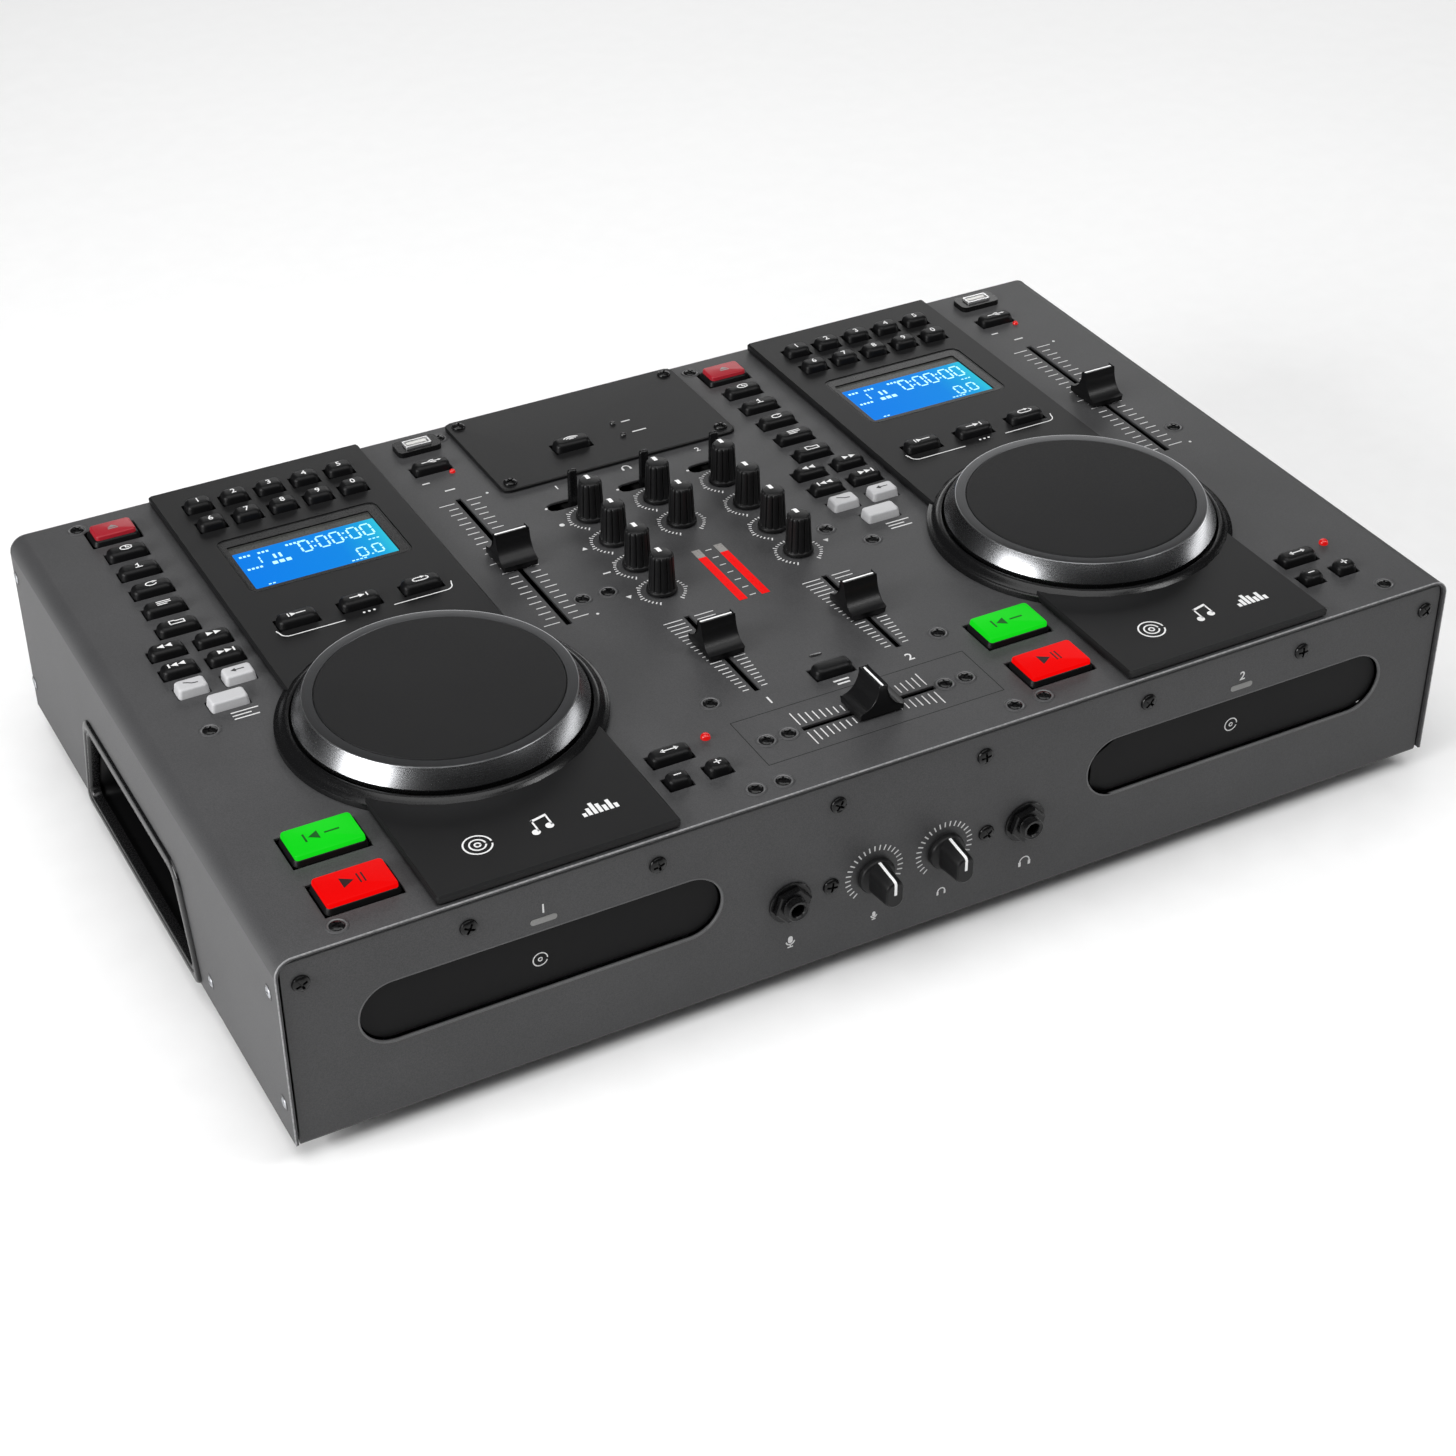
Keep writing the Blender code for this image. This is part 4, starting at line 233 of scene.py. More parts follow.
METER_RED = finish("meter_red", (0.07, 0.002, 0.002), 0.32, vary=0.05, grain=1.2, glow=(0.88, 0.002, 0.002),
                   power=0.93, specular=0.05)
METER_OFF = finish("meter_clear", (0.24, 0.23, 0.22), 0.32, grain=1.2)
LAMP_OFF = finish("lamp_clear", (0.018, 0.018, 0.018), 0.18, vary=0.06)
PILL = finish("lamp_pill", (0.20, 0.20, 0.195), 0.35, vary=0.05)
INK = finish("ink_white", (0.72, 0.72, 0.72), 0.55, vary=0.08, drift=0.03)
INK_BRIGHT = finish("ink_bright", (0.86, 0.86, 0.86), 0.50, vary=0.05, drift=0.02)
INK_GREY = finish("ink_grey", (0.62, 0.62, 0.62), 0.58, vary=0.12)
GROOVE = finish("groove_dark", (0.008, 0.008, 0.008), 0.60, specular=0.2)
SCREW = finish("screw_black", (0.0050, 0.0050, 0.0052), 0.22, vary=0.15, depth=0.015, specular=0.26)
SILVER = finish("connector_silver", (0.86, 0.86, 0.87), 0.36, metal=0.85, vary=0.06, depth=0.01)
ZINC = finish("drive_zinc", (0.42, 0.43, 0.45), 0.40, metal=0.9, vary=0.12, grain=3, depth=0.02)
JACK = finish("jack_black", (0.0045, 0.0045, 0.0048), 0.30, vary=0.12, depth=0.02, specular=0.28)
HOLE = finish("socket_dark", (0.003, 0.003, 0.003), 0.50, specular=0.15)
PHONO_RED = finish("phono_red", (0.40, 0.010, 0.009), 0.36, vary=0.05)
PHONO_WHITE = finish("phono_white", (0.62, 0.62, 0.60), 0.36, vary=0.05)
BAND = finish("display_band", (0.046, 0.047, 0.044), 0.30, grain=0.8, drift=0.15, patch=20, specular=0.2)
BEZEL = finish("display_bezel", (0.006, 0.006, 0.006), 0.30, specular=0.3)
SEGMENT = finish("display_segment", (0.15, 0.35, 0.45), 0.35, vary=0.05, glow=(0.46, 0.88, 1.0), power=0.92)


def brushed(name, colour, rough, metal, centre, depth, strength):
    """Metal with fine lines turned about an upright axis."""
    material, tree, bsdf = shader(name)
    axis = (centre[0] * MM, centre[1] * MM, 0)
    shifted = added(tree, "VectorMath", coordinates(tree), axis, operation="SUBTRACT").outputs[0]
    level = added(tree, "VectorMath", shifted, (1, 1, 0), operation="MULTIPLY").outputs[0]
    reach = added(tree, "VectorMath", level, operation="LENGTH").outputs["Value"]
    lines = added(tree, "TexNoise")
    lines.noise_dimensions = "1D"
    lines.inputs["Scale"].default_value = 1 / (0.22 * MM)
    lines.inputs["Detail"].default_value = 3.0
    tree.links.new(reach, lines.inputs["W"])
    grain = noise(tree, 0.5, 3.0)
    tree.links.new(tinted(tree, colour, ((lines.outputs["Fac"], 0.16), (grain, 0.04))),
                   bsdf.inputs["Base Color"])
    tree.links.new(spread(tree, grain, rough - 0.02, rough + 0.02), bsdf.inputs["Roughness"])
    bumped(tree, bsdf, lines.outputs["Fac"], depth, strength)
    bsdf.inputs["Metallic"].default_value = metal
    return material


LIGHT_STOPS = ((0.0, (0.0, 0.205, 0.81, 1)), (1.0, (0.03, 0.58, 0.72, 1)), (0.66, (0.001, 0.24, 0.78, 1)),
               (0.87, (0.006, 0.36, 0.74, 1)))


def lit_window(name, left, right):
    """The blue light of a display, brighter and greener towards one end."""
    material, tree, bsdf = shader(name)
    parts = added(tree, "SeparateXYZ", coordinates(tree))
    ramp = added(tree, "ValToRGB", spread(tree, parts.outputs["X"], 0.0, 1.0, left * MM, right * MM))
    elements = ramp.color_ramp.elements
    for i, (position, colour) in enumerate(LIGHT_STOPS):
        stop = elements[i] if i < 2 else elements.new(position)
        stop.position, stop.color = position, colour
    tree.links.new(ramp.outputs["Color"], bsdf.inputs["Emission Color"])
    tree.links.new(tinted(tree, (0.0, 0.006, 0.02), ((noise(tree, 2), 0.05),)), bsdf.inputs["Base Color"])
    tree.links.new(spread(tree, noise(tree, 0.6), 0.30, 0.42), bsdf.inputs["Roughness"])
    bsdf.inputs["Emission Strength"].default_value = 1.0
    bsdf.inputs["Specular IOR Level"].default_value = 0.02
    return material


# Mesh helpers.
def merged(bm, part, place=None, material=0):
    """Adds one mesh under construction to another."""
    if place is not None:
        part.transform(place)
    for face in part.faces:
        face.material_index = material
    carrier = bpy.data.meshes.new("carrier")
    part.to_mesh(carrier)
    part.free()
    bm.from_mesh(carrier)
    bpy.data.meshes.remove(carrier)


def polar(reach, angle):
    return reach * math.cos(angle), reach * math.sin(angle)


def arc(x, y, radius, start, end, steps=16):
    turns = [math.radians(start + (end - start) * i / steps) for i in range(steps + 1)]
    return [(x + across, y + up) for across, up in (polar(radius, a) for a in turns)]


def skinned(rows, around=False, caps=False):
    """Faces between rows of points, each row closed. A row of one point is a pole."""
    part = bmesh.new()
    rings = [[part.verts.new(point) for point in row] for row in rows]
    count = max(len(ring) for ring in rings)
    for first, second in zip(rings, rings[1:] + rings[:1] if around else rings[1:]):
        for i in range(count):
            j = (i + 1) % count
            corners = [ring[k % len(ring)] for ring, k in ((first, i), (first, j), (second, j), (second, i))]
            corners = list(dict.fromkeys(corners))
            if len(corners) > 2:
                part.faces.new(corners)
    for ring in (rings[0], rings[-1]) if caps else ():
        part.faces.new(ring)
    bmesh.ops.recalc_face_normals(part, faces=part.faces)
    return part


def turned(bm, profile, place=None, steps=64, closed=False, material=0):
    """A profile of (radius, height) points turned about the local z axis."""
    rows = [[(x, y, height) for x, y in arc(0, 0, radius, 0, 360, steps)[:-1]] if radius else [(0, 0, height)]
            for radius, height in profile]
    merged(bm, skinned(rows, closed), place, material)


def softened(part, height, edge, segments):
    """Rounds the edges of the upper face."""
    rim = [e for e in part.edges if all(v.co.z > height - TINY for v in e.verts)]
    bmesh.ops.bevel(part, geom=rim, offset=edge, segments=segments, profile=0.5, affect="EDGES")


def block(bm, width, depth, height, place=None, taper=(1.0, 1.0), corner=0.0, edge=0.0, segments=3,
          material=0, shift=0.0):
    """A moulded block on the plane, with round corners and a round upper edge."""
    part = bmesh.new()
    bmesh.ops.create_cube(part, size=1.0)
    for vert in part.verts:
        upper = vert.co.z > 0
        vert.co.x *= width * (taper[0] if upper else 1.0)
        vert.co.y = vert.co.y * depth * (taper[1] if upper else 1.0) + (shift if upper else 0.0)
        vert.co.z = height if upper else 0.0
    if corner:
        upright = [e for e in part.edges if abs(e.verts[0].co.z - e.verts[1].co.z) > height / 2]
        bmesh.ops.bevel(part, geom=upright, offset=corner, segments=segments + 1, profile=0.5, affect="EDGES")
    if edge:
        softened(part, height, edge, segments)
    merged(bm, part, place, material)


def prism(bm, points, low, high, place=None, edge=0.0, material=0):
    """An outline raised from low to high, with an optional round upper edge."""
    part = skinned([[(x, y, level) for x, y in points] for level in (low, high)], caps=True)
    if edge:
        softened(part, high, edge, 2)
    merged(bm, part, place, material)


def band(bm, outer, inner, low, high, place=None, material=0):
    """The ring between two outlines with as many points each."""
    section = ((outer, low), (outer, high), (inner, high), (inner, low))
    part = skinned([[(x, y, level) for x, y in points] for points, level in section], around=True)
    merged(bm, part, place, material)


def lip(bm, outline, section, place):
    """A closed section of (margin, height) points carried round an outline that grows with its margin."""
    rows = [[(x, y, height) for x, y in outline(margin)] for margin, height in section]
    merged(bm, skinned(rows, around=True), place)


def rounded_path(corners, steps=8):
    """An outline through (x, y, radius) corners, each rounded."""
    points = []
    for i, (x, y, radius) in enumerate(corners):
        here = Vector((x, y))
        back = (Vector(corners[i - 1][:2]) - here).normalized()
        on = (Vector(corners[(i + 1) % len(corners)][:2]) - here).normalized()
        half = back.angle(on) / 2
        centre = here + (back + on).normalized() * radius / math.sin(half)
        start, end = (here + way * radius / math.tan(half) - centre for way in (back, on))
        first, last = (math.degrees(math.atan2(ray.y, ray.x)) for ray in (start, end))
        turn = (last - first + 180) % 360 - 180
        points += arc(centre.x, centre.y, radius, first, first + turn, steps)
    return points


def rounded_rectangle(width, depth, radius, steps=6):
    corners = [(sx * width / 2, sy * depth / 2, radius) for sx, sy in ((1, 1), (-1, 1), (-1, -1), (1, -1))]
    return rounded_path(corners, steps)


def oblong(left, right, low, high):
    return [(left, low), (right, low), (right, high), (left, high)]


def ink_area(bm, points, place=None, material=0, lift=INK_LIFT):
    prism(bm, points, -INK_SINK, lift, place, material=material)


def ink_dot(bm, x, y, radius, place=None):
    ink_area(bm, arc(x, y, radius, 0, 360, 14)[:-1], place)


def ink_line(bm, points, width, place=None, closed=False, material=0, lift=INK_LIFT):
    """A line of even width along the points."""
    path = [Vector(p) for p in points]
    count = len(path)
    left, right = [], []
    for i, point in enumerate(path):
        before = path[i - 1] if i or closed else point
        after = path[(i + 1) % count] if i < count - 1 or closed else point
        first = (point - before).normalized() if before != point else (after - point).normalized()
        second = (after - point).normalized() if after != point else first
        along = (first + second).normalized()
        across = Vector((-along.y, along.x)) * width / 2 / max(0.4, along.dot(second))
        left.append(point + across)
        right.append(point - across)
    if closed:
        band(bm, left, right, -INK_SINK, lift, place, material)
    else:
        ink_area(bm, left + right[::-1], place, material, lift)


def dashes(bm, marks, weight, place, material=0):
    """Level strokes, each given by its middle and its length."""
    for x, y, length in marks:
        ink_line(bm, [(x - length / 2, y), (x + length / 2, y)], weight, place, material=material)


def dial(bm, place, start, sweep, count, inner, outer, longer, weight):
    """Ticks about a knob, every fifth one longer."""
    for i in range(count):
        angle = math.radians(start + sweep * i / (count - 1))
        ends = [polar(reach, angle) for reach in (inner, outer if i % 5 else longer)]
        ink_line(bm, ends, weight, place)


def ink_digits(bm, text, height, place=None, material=0):
    """Plain numbers and signs, centred on the plane's origin."""
    curve = bpy.data.curves.new("digits", "FONT")
    curve.body = text
    curve.size = height / 0.72
    curve.align_x, curve.align_y = "CENTER", "CENTER"
    curve.extrude = (INK_LIFT + INK_SINK) / 2
    curve.offset = height * 0.012
    curve.resolution_u = 3
    holder = bpy.data.objects.new("digits", curve)
    mesh = bpy.data.meshes.new_from_object(holder)
    bpy.data.objects.remove(holder)
    bpy.data.curves.remove(curve)
    part = bmesh.new()
    part.from_mesh(mesh)
    bpy.data.meshes.remove(mesh)
    bmesh.ops.remove_doubles(part, verts=part.verts, dist=TINY)
    part.transform(Matrix.Translation((0, 0, (INK_LIFT - INK_SINK) / 2)))
    merged(bm, part, place, material)


def strip(bm, path, width, thickness, place=None, material=0):
    """A raised bar that follows a path of (y, z) points."""
    rows = []
    for i, (y, z) in enumerate(path):
        before, after = path[max(0, i - 1)], path[min(len(path) - 1, i + 1)]
        along = Vector((after[0] - before[0], after[1] - before[1])).normalized()
        out = Vector((-along.y, along.x)) * thickness
        rows.append([(sx * width / 2, y + sz * out.x, z + sz * out.y)
                     for sx, sz in ((-1, -1), (1, -1), (1, 1), (-1, 1))])
    merged(bm, skinned(rows, caps=True), place, material)


def carved(base, tool):
    """The first mesh less the second, as a mesh to be shared."""
    holders = []
    for name, bm in (("carve_base", base), ("carve_tool", tool)):
        mesh = bpy.data.meshes.new(name)
        bm.to_mesh(mesh)
        bm.free()
        holder = bpy.data.objects.new(name, mesh)
        bpy.context.scene.collection.objects.link(holder)
        holders.append(holder)
    cut = holders[0].modifiers.new("cut", "BOOLEAN")
    cut.object = holders[1]
    cut.solver = "EXACT"
    cut.use_self = True
    seen = holders[0].evaluated_get(bpy.context.evaluated_depsgraph_get())
    result = bpy.data.meshes.new_from_object(seen)
    for holder in holders:
        bpy.data.objects.remove(holder)
    return result


def made(name, bm, materials, body="console", node=None, angle=38.0, edge=0.0):
    """Turns a mesh under construction into a piece that rides on a body."""
    bm.transform(Matrix.Scale(MM, 4))
    mesh = bpy.data.meshes.new(name)
    bm.to_mesh(mesh)
    bm.free()
    for material in materials:
        mesh.materials.append(material)
    mesh.shade_smooth()
    mesh.set_sharp_from_angle(angle=math.radians(angle))
    piece = bpy.data.objects.new(name, mesh)
    bpy.context.scene.collection.objects.link(piece)
    if edge:
        bevel = piece.modifiers.new("edges", "BEVEL")
        bevel.width = edge * MM
        bevel.segments = 2
        bevel.limit_method = "ANGLE"
        bevel.angle_limit = math.radians(50)
        weigh = piece.modifiers.new("weighted", "WEIGHTED_NORMAL")
        weigh.weight = 60
        weigh.keep_sharp = True
    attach(piece, body)
    if node:
        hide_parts(node)


ARC_CUTS, ARC_TOLERANCE = 4, 0.03


def rounded(bm, axis, centre, radius):
    """Gives the facets of a round edge their true curve."""
    across = [i for i in range(3) if i != axis]

    def reach(vert):
        return math.hypot(*(vert.co[i] - centre[i] for i in across))

    arcs = [e for e in bm.edges
            if abs(e.verts[0].co[axis] - e.verts[1].co[axis]) < TINY
            and all(abs(reach(v) - radius) < ARC_TOLERANCE for v in e.verts)
            and e.calc_length() < radius]
    if not arcs:
        return
    for vert in bmesh.ops.subdivide_edges(bm, edges=arcs, cuts=ARC_CUTS)["geom_inner"]:
        if isinstance(vert, bmesh.types.BMVert):
            distance = reach(vert)
            for i in across:
                vert.co[i] = centre[i] + (vert.co[i] - centre[i]) * radius / distance


def dressed(node, materials, edge=0.3, rounds=(), drop=None, pick=None):
    """A copy of a CAD node with merged faces, true curves and broken edges."""
    bm = bmesh.new()
    bm.from_mesh(frame["nodes"][node].data)
    bmesh.ops.remove_doubles(bm, verts=bm.verts, dist=TINY * MM)
    bmesh.ops.dissolve_limit(bm, angle_limit=math.radians(0.5), verts=bm.verts, edges=bm.edges)
    bm.transform(Matrix.Scale(1 / MM, 4))
    if drop:
        bmesh.ops.delete(bm, geom=[f for f in bm.faces if drop(f)], context="FACES")
    for axis, centre, radius in rounds:
        rounded(bm, axis, centre, radius)
    for face in bm.faces:
        face.material_index = pick(face) if pick else 0
    bmesh.ops.recalc_face_normals(bm, faces=bm.faces)
    body = body_of(frame["nodes"][node])[0]
    made("shell_" + node, bm, materials, body, node, 40, edge)


# Housing.
TRAY_X = {side: middle(f"disc_tray_{side}").x for side in SIDES}
TRAY_Z = middle("disc_tray_left").z
OPENING_RADIUS, OPENING_HALF = 16, 69
DOOR_GAP, DOOR_SINK, DOOR_BACK = 0.8, 1.8, 6
DISC_FROM_FRONT = 76
HUB_RADII = (11, 13, 15)

dressed("top_cover", [STEEL])
mouth_ends = [(1, (TRAY_X[side] + end * OPENING_HALF, 0, TRAY_Z), OPENING_RADIUS)
              for side in SIDES for end in SIGNS]
dressed("base_chassis", [STEEL], edge=0.25, rounds=mouth_ends)
for side in SIDES:
    dressed(f"handle_cup_{side}", [CUP], edge=0.5)
    hub = (TRAY_X[side], box(f"disc_tray_{side}")[0].y + DISC_FROM_FRONT, 0)
    dressed(f"disc_drive_{side}", [ZINC], edge=0.2,
            rounds=[(2, hub, radius) for radius in HUB_RADII])
dressed("receiver_panel", [PANEL])


def stadium(margin):
    radius = OPENING_RADIUS + margin
    return arc(OPENING_HALF, 0, radius, -90, 90, 24) + arc(-OPENING_HALF, 0, radius, 90, 270, 24)


# The lips round the tray openings, in the lighter lip colour that is partly a painted highlight.
LIP_SECTION = ((0.75, 0.02), (0.6, 0.14), (0.3, 0.20), (0.0, 0.05), (-0.22, -0.32), (-0.22, -0.9),
               (0.3, -0.9), (0.3, -0.1))
bm = bmesh.new()
for side in SIDES:
    lip(bm, stadium, LIP_SECTION, at(TRAY_X[side], FACE_Y, TRAY_Z, "front"))
made("tray_mouths", bm, [LIP], angle=60)


# The trays, with a door, a plate with two stepped disc seats, an open slot and two finger holes.
PLATE_WIDTH, PLATE_LENGTH, PLATE_THICKNESS, PLATE_IN_DOOR = 140, 165, 7, 0.4
DISC_SEATS = ((61, 1.6), (41, 3.0))
SPINDLE_SLOT = 18
FINGER_HOLE = 11


def build_tray(side):
    node = f"disc_tray_{side}"
    x, front = TRAY_X[side], box(node)[0].y
    hub = at(x, front + DISC_FROM_FRONT, TRAY_Z)
    ahead = DOOR_BACK - PLATE_IN_DOOR - DISC_FROM_FRONT + PLATE_LENGTH / 2
    plate = bmesh.new()
    outline = rounded_rectangle(PLATE_WIDTH, PLATE_LENGTH, 4)
    prism(plate, outline, -PLATE_THICKNESS, 0, hub @ at(0, ahead, 0))
    tool = bmesh.new()
    for radius, depth in DISC_SEATS:
        turned(tool, [(0, -depth), (radius, -depth), (radius, 1), (0, 1)], hub, 96)
    below = -PLATE_THICKNESS - 1
    slot = arc(0, 0, SPINDLE_SLOT, -180, 0, 32)
    prism(tool, [(-SPINDLE_SLOT, PLATE_LENGTH)] + slot + [(SPINDLE_SLOT, PLATE_LENGTH)], below, 1, hub)
    reach = DISC_SEATS[0][0] * math.sqrt(0.5)
    for end in SIGNS:
        hole = [(0, below), (FINGER_HOLE, below), (FINGER_HOLE, 2), (0, 2)]
        turned(tool, hole, hub @ at(end * reach, -reach, 0), 48)
    bm = bmesh.new()
    bm.from_mesh(carved(plate, tool))
    prism(bm, stadium(-DOOR_GAP), 0, DOOR_BACK - DOOR_SINK, at(x, front + DOOR_BACK, TRAY_Z, "front"))
    made("shell_" + node, bm, [DOOR], node, node, 40, 0.4)


for side in SIDES:
    build_tray(side)


# The cut edges of the cover's sheet, lighter than the powder coat: partly bare worn metal, partly a painted
# highlight line along each edge.
COVER_BEND = 8.5
EDGE_SECTION = ((0.04, 0.42), (0.04, 0.12), (-0.08, -0.05), (-0.55, -0.05), (-0.55, 0.3), (-0.3, 0.42))


def build_sheet_edge(name, y, way):
    side, up = HALF_WIDTH - COVER_BEND, TOP - COVER_BEND
    corners = arc(-side, up, COVER_BEND, 180, 90, 10) + arc(side, up, COVER_BEND, 90, 0, 10)
    path = [Vector(p) for p in [(-HALF_WIDTH, SIDE_FOOT)] + corners + [(HALF_WIDTH, SIDE_FOOT)]]
    ways = [(after - before).normalized() for before, after in zip(path, path[1:])]
    rows = []
    for i, point in enumerate(path):
        along = (ways[max(i - 1, 0)] + ways[min(i, len(ways) - 1)]).normalized()
        out = Vector((-along.y, along.x))
        spots = [(point + out * rise, y + way * depth) for rise, depth in EDGE_SECTION]
        rows.append([(spot.x, deep, spot.y) for spot, deep in spots])
    bm = bmesh.new()
    merged(bm, skinned(rows, caps=True))
    made(name, bm, [EDGE], angle=60)


build_sheet_edge("cover_edge_front", COVER_LOW.y, 1)
build_sheet_edge("cover_edge_rear", COVER_HIGH.y, -1)


# The moulded rims of the two carrying handles.
RIM_SECTION = ((4.6, -0.05), (4.6, 0.7), (4.2, 1.3), (3.4, 1.7), (2.2, 1.9), (1.0, 1.9), (0.3, 1.7),
               (0.0, 1.2), (-0.3, 1.1), (-0.9, 1.5), (-1.5, 1.5), (-2.1, 1.0), (-2.4, 0.1), (-2.5, -3.4),
               (-0.12, -3.4), (-0.12, -0.05))
# Heights of the mouth above the base, half its length at foot and head, its place and its corners.
MOUTH_LOW, MOUTH_HIGH, MOUTH_FOOT, MOUTH_HEAD, MOUTH_BACK = 6, 56, 78, 63, 13
MOUTH_FOOT_CORNER, MOUTH_HEAD_CORNER, MOUTH_FOOT_MARGIN = 4, 8, 3.4


def handle_mouth(margin, sign):
    y, low = CENTRE_Y + MOUTH_BACK, BASE_LOW.z + MOUTH_LOW - min(margin, MOUTH_FOOT_MARGIN)
    high = BASE_LOW.z + MOUTH_HIGH + margin
    foot, head = MOUTH_FOOT + margin, MOUTH_HEAD + margin
    corners = [(y - foot, low, MOUTH_FOOT_CORNER), (y + foot, low, MOUTH_FOOT_CORNER),
               (y + head, high, MOUTH_HEAD_CORNER + margin), (y - head, high, MOUTH_HEAD_CORNER + margin)]
    return [(sign * across, up) for across, up in rounded_path(corners)]


for side, sign in zip(SIDES, SIGNS):
    bm = bmesh.new()
    lip(bm, lambda margin: handle_mouth(margin, sign), RIM_SECTION, at(sign * HALF_WIDTH, 0, 0, side))
    made(f"handle_rim_{side}", bm, [RIM], angle=60)

FOOT_PROFILE = ((0, 6.0), (4.2, 6.0), (4.5, 5.7), (4.5, 0.6), (4.9, 0.0), (10.2, 0.0), (11.0, 0.8),
                (12.8, 9.2), (13.0, 10.0), (0, 10.0))
for name in ("front_left", "front_right", "rear_left", "rear_right"):
    spot = middle(f"foot_{name}")
    bm = bmesh.new()
    turned(bm, FOOT_PROFILE, at(spot.x, spot.y, 0), 48)
    made(f"rubber_{name}", bm, [RUBBER], node=f"foot_{name}")


# Cross-head screws.
HEAD_SECTION = ((0, None), (1, None), (1, 0.25), (0.93, 0.55), (0.72, 0.84), (0.4, 0.97), (0, 1))
HEAD_SINK = -0.4
SEAT_PROFILE = ((5.3, -0.1), (5.0, 0.22), (4.6, 0.42), (4.4, 0.42), (4.2, 0.3), (4.2, -0.1))
# The cone takes the lighter seat colour, a painted highlight for the bright crescent round each screw.
CONE_PROFILE = ((4.45, 0.40), (3.5, -0.02), (3.4, -0.3), (4.3, -0.3))


def screw_mesh(radius, height):
    head = bmesh.new()
    profile = [(share * radius, HEAD_SINK if rise is None else rise * height) for share, rise in HEAD_SECTION]
    turned(head, profile, steps=28)
    cross = bmesh.new()
    arm, width = 1.24 * radius, 0.24 * radius
    block(cross, arm, width, height, at(0, 0, 0.25 * height), taper=(1.1, 1.2))
    block(cross, width, arm, height, at(0, 0, 0.25 * height), taper=(1.2, 1.1))
    return carved(head, cross)


FLAT_HEAD, PAN_HEAD = screw_mesh(3.4, 0.9), screw_mesh(4.1, 1.8)
COVER_SCREWS = (
    (-267.4, 176), (-267.4, -19.4), (-268.4, -174.8), (-73.1, 175.1), (75.9, 175.8), (-74.3, -1.4),
    (-60.8, -1.7), (59.8, -1.3), (74.9, -20.8), (-61.4, -107.7), (59.3, -107.6), (-74.4, -174.4),
    (-61, -174.9), (58.6, -174.7), (74.2, -174.6), (271, 0.4), (269.7, -173.8), (-52.9, -145),
    (-41.6, -145), (40, -145), (51.1, -145),
)
FRONT_SCREWS = [(x, 84.5) for x in (-289, -215, -127, -38, 38, 127, 215, 289)] + [(-41, 40), (41, 40)]
REAR_SCREWS = [(x, z) for x in (-275, -120, 120, 275) for z in (12, 84)]
SIDE_SCREWS = ((-174, 77), (-176, 17.6), (-84, 15), (181, 79), (182, 15))
SCREW_START, SCREW_TURN = 23, 41
PLATE_MARGIN = 6.5


def add_screws(name, places, head, scale=1.0, seats=False, metal=SCREW):
    bm = bmesh.new()
    for i, place in enumerate(places):
        part = bmesh.new()
        part.from_mesh(head)
        part.transform(Matrix.Scale(scale, 4))
        merged(bm, part, spun(place, SCREW_START + SCREW_TURN * i))
        for profile, material in ((SEAT_PROFILE, 1), (CONE_PROFILE, 2)) if seats else ():
            turned(bm, [(r * scale, z * scale) for r, z in profile], place, 32, True, material)
    made(name, bm, [metal, STEEL, SEAT_HIGHLIGHT], angle=30)


plate_low, plate_high = box("receiver_panel")
plate_spots = [(x, y) for x in (plate_low.x + PLATE_MARGIN, plate_high.x - PLATE_MARGIN)
               for y in (plate_low.y + PLATE_MARGIN, plate_high.y - PLATE_MARGIN)]
side_spots = [at(sign * HALF_WIDTH, y + CENTRE_Y, SIDE_FOOT + z, side)
              for side, sign in zip(SIDES, SIGNS) for y, z in SIDE_SCREWS]
add_screws("cover_screws", [at(x, y + CENTRE_Y, TOP) for x, y in COVER_SCREWS], FLAT_HEAD, seats=True)
add_screws("front_screws", [at(x, FACE_Y, SIDE_FOOT + z, "front") for x, z in FRONT_SCREWS], PAN_HEAD)
add_screws("side_screws", side_spots, FLAT_HEAD, 0.75, True, ZINC)
add_screws("rear_screws", [at(x, BACK_Y, SIDE_FOOT + z, "rear") for x, z in REAR_SCREWS], PAN_HEAD)
add_screws("receiver_screws", [at(x, y, plate_high.z) for x, y in plate_spots], PAN_HEAD, 0.88)


# Jog wheels and their surrounds.
RING_PROFILE = ((75.35, -0.2), (75.35, 2.5), (75.2, 2.95), (74.8, 3.2), (74.1, 3.35), (73.4, 3.6),
                (72.6, 4.3), (71.6, 5.2), (70.7, 5.95), (69.9, 6.28), (68.9, 6.3), (68.3, 6.15), (68.1, 5.8),
                (68.1, -5.0), (70.0, -5.0), (70.0, -0.2))
JOG_RIM_PROFILE = ((56.6, 15.6), (56.62, 16.25), (56.8, 16.42), (61.6, 16.42), (61.95, 16.36), (62.2, 16.1),
                   (66.75, 8.4), (67.0, 7.9), (67.0, 7.6), (66.7, 7.35), (66.4, 5.0), (63.0, 5.0),
                   (60.0, 12.0), (56.6, 13.5))
JOG_DISC_PROFILE = ((0, 16.8), (55.4, 16.8), (56.1, 16.74), (56.4, 16.5), (56.5, 16.1), (56.5, 13.0),
                    (0, 13.0))
WHEEL_STEPS = 160
BEVEL_FROM, FILLET_FROM, RIM_TOP_FROM = 62.2, 61.62, 15.5


